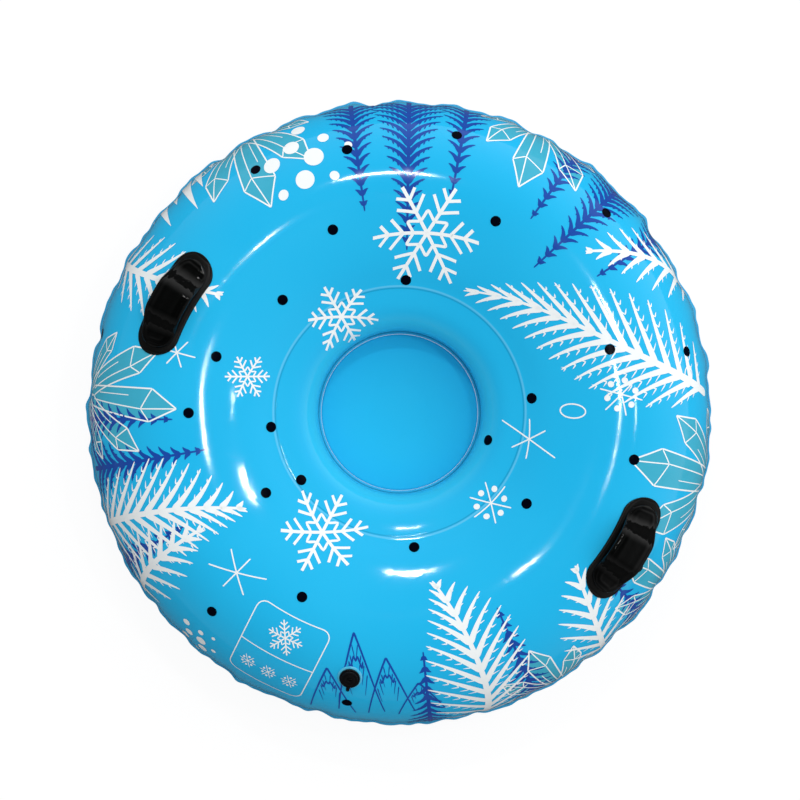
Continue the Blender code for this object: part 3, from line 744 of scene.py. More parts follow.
@dataclass(frozen=True)
class Sheets:
    """The two sheets, their welded seams and the seat floor."""

    around: int = 720
    base_around: int = 540
    outer_rows: int = 78
    base_rows: int = 46
    lining_rows: int = 9
    bend_share: float = 0.4
    top_wall: float = 0.0007
    base_wall: float = 0.0009
    lining_walls: float = 1.6
    outer_seam_width: float = 0.005
    inner_seam_width: float = 0.004
    seam_bite: float = 0.003
    seam_flutter: float = 0.0006
    fin_shares: tuple[float, ...] = (0.0, 0.3, 0.36, 0.42, 0.6, 0.66, 0.72, 0.92, 1.0, 1.0, 0.92, 0.5, 0.0)
    fin_heights: tuple[float, ...] = (1.0, 1.0, 0.55, 1.0, 1.0, 0.55, 1.0, 1.0, 0.55, -0.55, -1.0, -1.0, -1.0)
    floor_flat_rows: int = 4
    floor_rows: int = 26
    floor_wall: float = 0.0009
    floor_sag: float = 0.006
    floor_start: float = 0.004
    floor_flat_radius: float = 0.045
    floor_fold: float = 0.00025
    floor_weld: float = 0.0003
    floor_weld_inset: float = 0.004
    floor_weld_reach: float = 0.0008

    def sheet(
        self, name: str, surface: Any, around: int, rows: int, wall: float, flip: bool = False
    ) -> bpy.types.Object:
        """A sheet as a closed skin: an outer face whose rows share out its length and its bend, and a lining.

        Args:
            name: the object's name.
            surface: gives points from azimuth, turn and lift.
            around: how many points go round.
            rows: how many rows the outer face has.
            wall: the sheet's thickness.
            flip: turns the faces over.

        Returns:
            The object.
        """
        azimuth = np.arange(around) * (2 * math.pi / around)
        slopes = np.unwrap(np.arctan2(*RING.crown(TURNS)[2:]))
        bend = np.concatenate([[0.0], np.cumsum(np.abs(np.diff(slopes)))])
        pace = (1 - self.bend_share) * ARCS / ARCS[-1] + self.bend_share * bend / bend[-1]
        outer = np.interp(np.linspace(0.0, 1.0, rows), pace, TURNS)
        inner = np.linspace(math.pi, 0.0, self.lining_rows)
        face = surface(azimuth, outer[:, None])
        lining = surface(azimuth, inner[:, None], -wall * self.lining_walls)
        shares = np.concatenate([outer, inner, outer[:1]]) / math.pi
        across, along_section = np.meshgrid(np.linspace(0, 1, around + 1), shares)
        uv = np.stack([across, along_section], -1)
        return grid_object(name, np.concatenate([face, lining]), closed=True, uv=uv, flip=flip)

    def seam(self, name: str, start: float, end: float, follows: float, flutter: float) -> bpy.types.Object:
        """A flat weld fin: a rounded strip with two pressed lines.

        Args:
            name: the object's name.
            start: its radius at the sheets.
            end: its radius at the free edge.
            follows: the share of the puckers that it follows.
            flutter: how far its free edge waves up and down.

        Returns:
            The object.
        """
        azimuth = np.arange(self.around) * (2 * math.pi / self.around)
        share = np.array(self.fin_shares)[:, None]
        thick = np.array(self.fin_heights)[:, None] * (RING.seam_thickness / 2)
        radius = start + (end - start) * share - RING.hollow(azimuth, np.zeros(1)) * follows
        lift = flutter * np.sin(29 * azimuth + 0.8 * np.sin(5 * azimuth)) * share**2
        points = RING.point(azimuth, radius, RING.seam_height + thick + lift)
        return grid_object(name, points[::-1], closed=True)

    def floor(self) -> bpy.types.Object:
        """The seat floor: a disc that sags as a parabola to a flat middle, with faint folds at its rim."""
        rim = RING.seat_radius - self.inner_seam_width - RING.clearance
        azimuth = np.arange(self.around // 2) * (4 * math.pi / self.around)
        flat = np.linspace(self.floor_start, self.floor_flat_radius, self.floor_flat_rows)
        sloped = np.linspace(self.floor_flat_radius, rim, self.floor_rows)[1:]
        radius = np.concatenate([flat, sloped])[:, None]
        slope = np.clip(1 - (radius - self.floor_flat_radius) / (rim - self.floor_flat_radius), 0.0, 1.0)
        middle = RING.seam_height - self.floor_sag * slope**2
        fold = self.floor_fold * np.sin(40 * azimuth + 1.5 * np.sin(3 * azimuth))
        fold = fold * smooth_step(radius / rim * 5 - 4)
        weld = self.floor_weld * bell(radius - rim + self.floor_weld_inset, self.floor_weld_reach)
        upper = RING.point(azimuth, radius, middle + self.floor_wall / 2 + weld + fold)
        lower = RING.point(azimuth, radius, middle - self.floor_wall / 2 + fold)
        rows = np.concatenate([upper, lower[::-1]])
        return grid_object("seat_floor_sheet", rows, caps=True, flip=True)

    def build(self) -> None:
        """Makes and dresses the sheets, the seams and the floor."""
        top = self.sheet("top_sheet_skin", RING.top, self.around, self.outer_rows, self.top_wall)
        bore(top, Valve().drill())
        dress(top, SKY.material(), stands_for="top_sheet")
        sizes = (self.base_around, self.base_rows, self.base_wall)
        under = self.sheet("base_sheet_skin", RING.base, *sizes, flip=True)
        dress(under, BASE.material(), stands_for="base_sheet")
        start, end = RING.seam_radius - self.seam_bite, RING.seam_radius + self.outer_seam_width
        fin = self.seam("outer_seam_fin", start, end, 1.0, self.seam_flutter)
        dress(fin, SEAM.material(), stands_for="outer_seam")
        start, end = RING.seat_radius + self.seam_bite, RING.seat_radius - self.inner_seam_width
        ring = self.seam("inner_seam_ring", start, end, 0.0, 0.0)
        dress(ring, WELD.material(), stands_for="inner_seam")
        dress(self.floor(), FLOOR.material(), stands_for="seat_floor")


# The print


# The longest step along a stroke and across a film, and the six ways of a flake's arms
STROKE_STEP = 0.007
FILM_STEP = 0.006
SIXTHS = np.arange(6) * (math.pi / 3)


@dataclass
class Strokes:
    """Some strokes of one ink: their paths, and half their width at each point."""

    ink: Ink
    paths: np.ndarray
    halves: np.ndarray

    def moved(self, x: float, y: float) -> "Strokes":
        """The same strokes elsewhere on their flat drawing."""
        return Strokes(self.ink, self.paths + (x, y), self.halves)


def straight(
    ink: Ink, starts: Any, ends: Any, half: Any, tip: float = 1.0, bow: Any = 0.0, blunt: bool = True
) -> Strokes:
    """Strokes from starts to ends.

    Each path is the straight line plus bow times a parabola to its left, and its half width runs from half
    to half times tip. Blunt strokes round off at both ends over half a width.

    Args:
        ink: the ink.
        starts: where each begins.
        ends: where each ends.
        half: half the width, one number or one for each stroke.
        tip: the share of the width that is left at the end.
        bow: how far the middle stands off the line.
        blunt: rounds the ends.

    Returns:
        The strokes.
    """
    starts, ends = np.broadcast_arrays(*(np.atleast_2d(np.asarray(item, float)) for item in (starts, ends)))
    way = ends - starts
    length = np.hypot(*way.T)[:, None]
    half = np.broadcast_to(half, len(length))[:, None]
    bow = np.broadcast_to(bow, len(length))[:, None]
    count = max(int(math.ceil(length.max() / STROKE_STEP)) + 1, 4)
    share = (1 - np.cos(np.linspace(0, math.pi, count))) / 2 if blunt else np.linspace(0, 1, count)
    side = np.stack([-way[:, 1], way[:, 0]], -1) / np.maximum(length, 1e-9)
    paths = starts[:, None] + way[:, None] * share[:, None]
    paths = paths + side[:, None] * (bow * 4 * share * (1 - share))[..., None]
    halves = half * (1 + (tip - 1) * share)
    if blunt:
        reach = np.minimum(share, 1 - share) * length / half
        halves = halves * (0.35 + 0.65 * np.sqrt(np.clip(reach, 0, 1)))
    return Strokes(ink, paths, halves)


def shaped(ink: Ink, starts: Any, ends: Any, widest: Any, profile: Sequence[tuple[float, float]]) -> Strokes:
    """Filled shapes on straight axes, whose half width is widest times a profile of (place, width) shares."""
    axes = straight(ink, starts, ends, 1.0, blunt=False).paths
    places, widths = np.array(profile).T
    share = np.unique(np.concatenate([np.linspace(0, 1, axes.shape[1]), places]))
    paths = axes[:, :1] + (axes[:, -1:] - axes[:, :1]) * share[:, None]
    return Strokes(ink, paths, np.broadcast_to(widest, len(axes))[:, None] * np.interp(share, places, widths))


def discs(ink: Ink, centres: Any, radii: Any) -> Strokes:
    """Round dots: along a diameter the half width is the circle's chord."""
    centres = np.atleast_2d(np.asarray(centres, float))
    radii = np.broadcast_to(radii, len(centres))[:, None]
    angle = np.linspace(0, math.pi, 15)
    line = np.stack([-np.cos(angle), np.zeros(15)], -1)
    return Strokes(ink, centres[:, None] + line * radii[..., None], radii * np.sin(angle))


def along(ink: Ink, path: np.ndarray, half: float) -> Strokes:
    """One stroke along any path."""
    return Strokes(ink, path[None], np.full((1, len(path)), half))


def copies(points: Any, angles: np.ndarray) -> np.ndarray:
    """Copies of some flat points, turned about the origin by each angle."""
    cosine, sine = np.cos(angles)[:, None], np.sin(angles)[:, None]
    x, y = np.asarray(points).T
    return np.stack([x * cosine - y * sine, x * sine + y * cosine], -1).reshape(-1, 2)


def steps(angles: Any) -> np.ndarray:
    """Unit steps at some angles from the drawing's upright, clockwise."""
    return np.stack([np.sin(angles), np.cos(angles)], -1)


@dataclass(frozen=True)
class Snowflake:
    """A common six-armed flake: two pairs of twigs on each arm round a six-pointed star."""

    size: float
    half: float = 0.0028
    root_shares: tuple[float, ...] = (0.44, 0.44, 0.71, 0.71)
    twig_shares: tuple[float, ...] = (0.365, 0.365, 0.25, 0.25)
    star_shares: tuple[float, float] = (0.25, 0.44)
    slant: float = math.radians(50)

    def strokes(self) -> list[Strokes]:
        """The flake's strokes."""
        reach = self.size / 2
        arms = straight(Ink.WHITE, [0, 0], copies([[reach, 0.0]], SIXTHS), self.half, blunt=False)
        roots = np.array([[share, 0.0] for share in self.root_shares]) * reach
        lengths = np.array(self.twig_shares) * reach
        rises = np.array([1, -1, 1, -1]) * lengths * math.sin(self.slant)
        tips = roots + np.stack([lengths * math.cos(self.slant), rises], -1)
        roots, tips = copies(roots, SIXTHS), copies(tips, SIXTHS)
        twigs = straight(Ink.WHITE, roots, tips, self.half * 0.92, blunt=False)
        inner = copies([[self.star_shares[0] * reach, 0.0]], SIXTHS)
        outer = copies([[self.star_shares[1] * reach, 0.0]], SIXTHS + math.pi / 6)
        star = straight(Ink.WHITE, inner, outer, self.half * 0.85)
        other = straight(Ink.WHITE, outer, np.roll(inner, -1, 0), self.half * 0.85)
        return [arms, twigs, star, other]


@dataclass(frozen=True)
class SparkFlake:
    """Thin crossed lines, with or without dots between them."""

    size: float
    dots: bool = True
    half: float = 0.0011
    lengths: tuple[float, float, float] = (1.0, 1.0, 1.0)
    dot_place_share: float = 0.327
    dot_share: float = 0.071

    def strokes(self) -> list[Strokes]:
        """The flake's strokes."""
        reach = self.size / 2 * np.array(self.lengths * 2)
        ends = np.stack([np.cos(SIXTHS), np.sin(SIXTHS)], -1) * reach[:, None]
        parts = [straight(Ink.WHITE, ends[:3], ends[3:], self.half)]
        if self.dots:
            centres = copies([[self.dot_place_share * self.size, 0.0]], SIXTHS + math.pi / 6)
            parts.append(discs(Ink.WHITE, centres, self.size * self.dot_share))
        return parts


@dataclass(frozen=True)
class Loop:
    """A small drawn ring."""

    width: float
    height: float
    half: float = 0.0011

    def strokes(self) -> list[Strokes]:
        """The ring's stroke, an ellipse."""
        angle = np.linspace(0, 2 * math.pi, 33)
        path = np.stack([self.width / 2 * np.cos(angle), self.height / 2 * np.sin(angle)], -1)
        return [along(Ink.WHITE, path, self.half)]


@dataclass(frozen=True)
class Dot:
    """A plain round dot."""

    radius: float = 0.0083

    def strokes(self) -> list[Strokes]:
        """The dot."""
        return [discs(Ink.BLACK, [0.0, 0.0], self.radius)]


@dataclass(frozen=True)
class Barbs:
    """Short strokes at an even pitch along some branches.

    Each makes the angles in leans with its branch. Its length is a share of the branch's, and falls to a
    third towards the branch's tip.
    """

    leans: tuple[float, ...]
    pitch: float
    share: float
    half: float

    def strokes(self, ink: Ink, roots: np.ndarray, angles: np.ndarray, sizes: np.ndarray) -> list[Strokes]:
        """The strokes.

        Args:
            ink: the ink.
            roots: where each branch begins.
            angles: the angle of each branch from the drawing's upright.
            sizes: the length of each branch.

        Returns:
            The strokes, a set for each step along the branches and each lean.
        """
        parts = []
        for step in range(1, int(sizes.max() / self.pitch) + 1):
            near = sizes > self.pitch * (step + 0.4)
            if not near.any():
                break
            base = roots[near] + steps(angles[near]) * (self.pitch * step)
            size = self.share * sizes[near] * (1 - 0.67 * self.pitch * step / sizes[near])
            for lean in self.leans:
                tips = base + steps(angles[near] + lean) * size[:, None]
                parts.append(straight(ink, base, tips, self.half, 0.3))
        return parts


@dataclass(frozen=True)
class FrostPlume:
    """A frost feather as it grows on a window: a curved stem with barbed branches at sixty degrees."""

    length: float
    spread: float
    bend: float
    pitch: float = 0.0245
    half: float = 0.0054
    slant: float = math.radians(60)
    barb_lean: float = 0.55
    barb_pitch: float = 0.017
    barb_share: float = 0.17

    def strokes(self) -> list[Strokes]:
        """The feather's strokes: branch length is the spread times a power of a sine along the stem."""
        stem = straight(Ink.WHITE, [0, 0], [0, self.length], self.half * 1.25, 0.3, self.bend * self.length)
        share = np.linspace(0.07, 0.96, max(4, int(self.length / self.pitch)))
        roots = np.stack([-self.bend * self.length * 4 * share * (1 - share), share * self.length], -1)
        sizes = self.spread * self.length * np.sin(math.pi * share**0.7) ** 0.7 * (1 - 0.3 * share)
        leans = (-self.barb_lean, self.barb_lean)
        barbs = Barbs(leans, self.barb_pitch, self.barb_share, self.half * 0.24)
        parts = [stem]
        for side in (-1, 1):
            angles = side * (self.slant - 0.4 * share)
            tips = roots + steps(angles) * sizes[:, None]
            parts.append(straight(Ink.WHITE, roots, tips, self.half, 0.2, side * 0.05 * sizes))
            parts += barbs.strokes(Ink.WHITE, roots, angles, sizes)
        return parts


@dataclass(frozen=True)
class Fir:
    """A plain fir tree: a trunk with bold drooping boughs, each with a few needles under it."""

    height: float
    width: float = 0.30
    pitch: float = 0.0175
    half: float = 0.0046
    slant: float = math.radians(122)
    needle_lean: float = 0.45
    needle_pitch: float = 0.010
    needle_share: float = 0.22

    def strokes(self) -> list[Strokes]:
        """The tree's strokes: bough length falls in a straight line from the lowest tier to the top."""
        trunk = straight(Ink.NAVY, [0, 0], [0, self.height], self.half * 0.9, 0.3)
        share = np.linspace(0.14, 0.96, max(4, int(self.height / self.pitch)))
        roots = np.stack([np.zeros_like(share), share * self.height], -1)
        sizes = self.width * self.height * (1.10 - share)
        parts = [trunk]
        for side in (-1, 1):
            angles = side * (self.slant + 0.25 * share)
            tips = roots + steps(angles) * sizes[:, None]
            parts.append(straight(Ink.NAVY, roots, tips, self.half, 0.22, -side * 0.10 * sizes))
            leans = (side * self.needle_lean,)
            needles = Barbs(leans, self.needle_pitch, self.needle_share, self.half * 0.30)
            parts += needles.strokes(Ink.NAVY, roots, angles, sizes)
        return parts


@dataclass(frozen=True)
class Peaks:
    """A row of sharp mountains in outline, each with its snow line and a few slope lines."""

    width: float
    heights: tuple[float, ...] = (0.11, 0.17, 0.13, 0.08)
    half: float = 0.0016
    slopes: tuple[tuple[float, float], ...] = ((0.14, 0.42), (0.26, 0.5), (0.38, 0.55), (0.50, 0.62))
    snow: tuple[tuple[float, float], ...] = ((0.30, 0.0), (0.24, 0.35), (0.38, 0.65), (0.30, 1.0))

    def strokes(self) -> list[Strokes]:
        """The mountains' strokes: each flank falls from its summit to the valleys on both sides."""
        count = len(self.heights)
        x = (np.arange(count) + 0.5) / count * self.width - self.width / 2
        tops = np.stack([x, np.asarray(self.heights)], -1)
        parts = []
        for side in (-1, 1):
            feet = np.stack([x + side * self.width / count * 0.78, 0.12 * tops[:, 1]], -1)
            flank = feet - tops
            parts.append(straight(Ink.NAVY, tops, feet, self.half, 0.6, side * 0.004))
            for share, fall in self.slopes:
                start = tops + flank * share * 0.9
                lean = np.array([-side * 0.10, -0.62]) * fall * tops[:, 1:] * 0.6
                parts.append(straight(Ink.NAVY, start, start + lean, self.half * 0.6, 0.3))
            line = [tops + flank * drop * np.array([out, 1.0]) for drop, out in self.snow]
            parts += [straight(Ink.NAVY, *ends, self.half * 0.8) for ends in zip(line, line[1:])]
        return parts


@dataclass(frozen=True)
class Crystals:
    """Pointed ice crystals from one foot: tinted prisms with bright outlines and facet lines."""

    length: float
    angles: tuple[float, ...] = (-56, -27, 2, 30, 60)
    shares: tuple[float, ...] = (0.62, 0.88, 1.0, 0.8, 0.58)
    widest: float = 0.13
    half: float = 0.0012
    outline: tuple[tuple[float, float], ...] = ((0.0, 0.30), (0.10, 0.62), (0.78, 1.0), (1.0, 0.0))
    facets: tuple[tuple[float, ...], ...] = (
        (0.12, 0.18, 0.70, 0.30, 0.8), (0.70, 0.30, 1.0, 0.0, 0.8), (0.78, -1.0, 0.70, 0.30, 0.8),
        (0.78, 1.0, 0.70, 0.30, 0.8), (0.22, -0.30, 0.58, -0.42, 0.6),
    )

    def strokes(self) -> list[Strokes]:
        """The cluster's strokes. A crystal is widest at three quarters of its length."""
        size = np.asarray(self.shares) * self.length
        way = steps(np.radians(self.angles))
        side = np.stack([way[:, 1], -way[:, 0]], -1) * (self.widest * size)[:, None]
        foot, tip = way * 0.05 * self.length, way * size[:, None]
        parts = [shaped(Ink.TEAL, foot, tip, self.widest * size, self.outline)]
        lines = [
            (first, turn * wide, last, turn * narrow, 1.0)
            for (first, wide), (last, narrow) in zip(self.outline, self.outline[1:])
            for turn in (-1, 1)
        ]
        for first, wide, last, narrow, share in [*lines, *self.facets]:
            start, end = foot + (tip - foot) * first + side * wide, foot + (tip - foot) * last + side * narrow
            parts.append(straight(Ink.WHITE, start, end, self.half * share))
        return parts


@dataclass(frozen=True)
class Icicles:
    """A row of icicles: tapered drops of unlike length."""

    lengths: tuple[float, ...] = (0.06, 0.105, 0.14, 0.085, 0.12, 0.055)
    pitch: float = 0.026
    widest: float = 0.0115
    outline: tuple[tuple[float, float], ...] = (
        (0.0, 0.55), (0.06, 0.9), (0.16, 1.0), (0.45, 0.66), (0.75, 0.34), (0.93, 0.12), (1.0, 0.02),
    )

    def strokes(self) -> list[Strokes]:
        """The icicles, each widest near its root."""
        sizes = np.asarray(self.lengths)
        x = (np.arange(len(sizes)) - (len(sizes) - 1) / 2) * self.pitch
        starts, ends = np.stack([x, np.zeros_like(x)], -1), np.stack([x + 0.12 * sizes, sizes], -1)
        widths = self.widest * (0.6 + 0.5 * sizes / sizes.max())
        return [shaped(Ink.WHITE, starts, ends, widths, self.outline)]


@dataclass(frozen=True)
class SnowPuffs:
    """A drift of snowballs of unlike size."""

    size: float
    ball_shares: tuple[float, ...] = (0.105, 0.085, 0.1, 0.06, 0.09, 0.05, 0.075, 0.055, 0.04)
    golden_angle: float = 2.399963

    def strokes(self) -> list[Strokes]:
        """The snowballs, on a spiral of golden angles."""
        count = len(self.ball_shares)
        angle = np.arange(count) * self.golden_angle
        radius = self.size / 2 * np.sqrt((np.arange(count) + 0.4) / count)
        centres = np.stack([radius * np.cos(angle), radius * np.sin(angle)], -1)
        return [discs(Ink.WHITE, centres, self.size * np.array(self.ball_shares))]


@dataclass(frozen=True)
class Frame:
    """A bare rounded frame in two fields: a flake in the upper one, three sparks in the lower one."""

    width: float
    height: float
    corner: float = 0.016
    half: float = 0.0009
    spark_shares: tuple[float, ...] = (-0.29, 0.0, 0.29)

    def strokes(self) -> list[Strokes]:
        """The frame, straight sides with quarter circles between, its divider, the flake and the sparks."""
        x, y = self.width / 2 - self.corner, self.height / 2 - self.corner
        pieces = []
        for quarter, centre in enumerate(((x, y), (-x, y), (-x, -y), (x, -y))):
            angle = np.linspace(0, math.pi / 2, 9) + quarter * math.pi / 2
            pieces.append(np.stack([np.cos(angle), np.sin(angle)], -1) * self.corner + centre)
        ring = np.concatenate([*pieces, pieces[0][:1]])
        length = np.concatenate([[0], np.cumsum(np.hypot(*np.diff(ring, axis=0).T))])
        even = np.linspace(0, length[-1], 90)
        path = np.stack([np.interp(even, length, ring[:, 0]), np.interp(even, length, ring[:, 1])], -1)
        divider = straight(Ink.WHITE, [-self.width / 2, 0], [self.width / 2, 0], self.half)
        parts = [along(Ink.WHITE, path, self.half), divider]
        flake = Snowflake(self.height * 0.40, 0.0011).strokes()
        parts += [part.moved(0.0, self.height / 4) for part in flake]
        spark = SparkFlake(self.height * 0.20, half=0.0007).strokes()
        for share in self.spark_shares:
            parts += [part.moved(share * self.width, -self.height / 4) for part in spark]
        return parts


@dataclass(frozen=True)
class Print:
    """The whole print: what stands where, and the lift of each ink above the sheet."""

    motifs: list[tuple[Any, Spot]]
    lifts: tuple[tuple[Ink, float], ...] = (
        (Ink.TEAL, 0.00026), (Ink.NAVY, 0.00034), (Ink.WHITE, 0.00042), (Ink.BLACK, 0.00050),
    )

    def grid(self, strokes: Strokes, spot: Spot, lift: float) -> np.ndarray:
        """Lays strokes on the ring.

        Args:
            strokes: the strokes in their flat drawing.
            spot: where the drawing's origin lies, and its turn.
            lift: height above the sheet.

        Returns:
            Points, strokes by points along by points across by three.
        """
        step = np.gradient(strokes.paths, axis=1)
        step = step / np.maximum(np.linalg.norm(step, axis=-1, keepdims=True), 1e-9)
        side = np.stack([-step[..., 1], step[..., 0]], -1)[:, :, None]
        columns = max(2, int(math.ceil(2 * strokes.halves.max() / FILM_STEP)) + 1)
        reach = strokes.halves[..., None] * np.linspace(1, -1, columns)
        flat = strokes.paths[:, :, None] + side * reach[..., None]
        return RING.top(*spot.spread(flat[..., 0], flat[..., 1]), lift)

    def clear_valve(self, grid: np.ndarray, lift: float) -> tuple[np.ndarray, np.ndarray]:
        """Draws points that lie over the valve's hole back to under its weld ring.

        Args:
            grid: points of the strokes.
            lift: height above the sheet.

        Returns:
            The points, and which of them lay over the hole.
        """
        valve = Valve()
        limit = (valve.weld_radius + valve.collar_radius) / 2
        away = grid - valve.world(np.array([0.0, 0.0, lift]))
        distance = np.linalg.norm(away, axis=-1)
        return grid + away * np.maximum(limit / distance - 1, 0.0)[..., None], distance < limit

    def film(self, ink: Ink, lift: float) -> bpy.types.Object:
        """All strokes of one ink as one thin film, open over the valve's hole."""
        points, faces, start = [], [], 0
        for motif, spot in self.motifs:
            for strokes in motif.strokes():
                if strokes.ink is not ink:
                    continue
                grid, over = self.clear_valve(self.grid(strokes, spot, lift), lift)
                index = np.arange(over.size).reshape(over.shape)
                corners = [index[:, :-1, :-1], index[:, 1:, :-1], index[:, 1:, 1:], index[:, :-1, 1:]]
                quads = np.stack(corners, -1)
                points.append(grid.reshape(-1, 3))
                faces.append(quads[~over.ravel()[quads].all(axis=-1)] + start)
                start += over.size
        return mesh_object(f"print_{ink.value}", np.concatenate(points), np.concatenate(faces).tolist())

    def build(self) -> None:
        """Makes and dresses one film for each ink."""
        for ink, lift in self.lifts:
            dress(self.film(ink, lift), INKS[ink].material())


DOTS = (
    (-0.082, 0.411), (0.090, 0.435), (-0.226, 0.381), (0.325, 0.313), (-0.104, 0.285), (0.150, 0.298),
    (0.010, 0.207), (-0.183, 0.176), (0.328, 0.098), (0.453, 0.096), (0.207, 0.022), (-0.329, -0.001),
    (-0.201, -0.023), (0.140, -0.044), (0.366, -0.074), (0.199, -0.143), (-0.209, -0.126), (-0.154, -0.106),
    (0.023, -0.211), (-0.152, -0.288), (-0.294, -0.312), (-0.286, 0.087), (-0.083, -0.458), (0.376, -0.244),
    (-0.477, 0.126),
)


def layout() -> list[tuple[Any, Spot]]:
    """What the print shows and where: flakes and dots, frost feathers, firs, crystals, peaks and icicles."""
    items: list[tuple[Any, Spot]] = [
        (FrostPlume(0.38, 0.34, 0.07), Spot(0.487, 0.030, 148)),
        (FrostPlume(0.33, 0.36, -0.09), Spot(0.130, -0.490, 108)),
        (FrostPlume(0.32, 0.38, 0.08), Spot(-0.470, -0.185, 12)),
        (FrostPlume(0.25, 0.36, -0.06), Spot(-0.440, 0.240, -22)),
        (FrostPlume(0.24, 0.38, 0.05), Spot(0.330, -0.385, 118)),
        (FrostPlume(0.22, 0.36, -0.05), Spot(0.462, 0.190, 168)),
        (FrostPlume(0.21, 0.38, 0.06), Spot(-0.410, -0.285, 42)),
        (Crystals(0.23), Spot(0.492, -0.110, 168)),
        (Crystals(0.21), Spot(-0.250, 0.435, -62)),
        (Crystals(0.20), Spot(-0.495, 0.030, -6)),
        (Crystals(0.17), Spot(0.425, -0.275, 150)),
        (Crystals(0.20), Spot(0.225, 0.450, -112)),
        (Crystals(0.16), Spot(0.255, -0.432, 128)),
        (Fir(0.30), Spot(0.015, 0.497, -91)),
        (Fir(0.23), Spot(-0.078, 0.490, -82)),
        (Fir(0.21), Spot(0.108, 0.485, -101)),
        (Fir(0.26), Spot(0.352, 0.355, -137)),
        (Fir(0.20), Spot(0.285, 0.410, -126)),
        (Fir(0.20), Spot(0.415, 0.280, -147)),
        (Fir(0.23), Spot(-0.485, -0.090, 10)),
        (Fir(0.20), Spot(-0.440, -0.240, 30)),
        (Fir(0.19), Spot(-0.495, -0.010, 0)),
        (Fir(0.22), Spot(0.215, -0.450, 114)),
        (Fir(0.19), Spot(0.050, -0.497, 96)),
        (Fir(0.20), Spot(0.385, -0.330, 134)),
        (Peaks(0.19), Spot(-0.034, -0.484, 94)),
        (Icicles(), Spot(-0.350, 0.360, -46)),
        (SnowPuffs(0.15), Spot(-0.150, 0.400)),
        (SnowPuffs(0.085), Spot(-0.322, -0.360)),
        (Frame(0.126, 0.146), Spot(-0.194, -0.383, 63)),
        (Snowflake(0.168, 0.0027), Spot(0.043, 0.280, 87)),
        (Snowflake(0.112, 0.0021), Spot(-0.091, 0.150, 90)),
        (Snowflake(0.138, 0.0024), Spot(-0.121, -0.188, 92)),
        (Snowflake(0.072, 0.0014), Spot(-0.238, 0.056, 90)),
        (SparkFlake(0.069), Spot(0.143, -0.142, 75)),
        (SparkFlake(0.069), Spot(0.346, 0.028, 75)),
        (SparkFlake(0.105, False, lengths=(1.0, 0.58, 0.6)), Spot(0.203, -0.042, 55)),
        (SparkFlake(0.094, False, lengths=(1.0, 0.65, 0.8)), Spot(-0.254, -0.250, 75)),
        (SparkFlake(0.060, False, lengths=(1.0, 0.8, 0.8)), Spot(-0.347, 0.093, 75)),
        (Loop(0.040, 0.022), Spot(0.271, 0.002, 85)),
        (Loop(0.018, 0.034), Spot(0.455, 0.057, 80)),
    ]
    return items + [(Dot(), Spot(x, y)) for x, y in DOTS]


# The grab handles


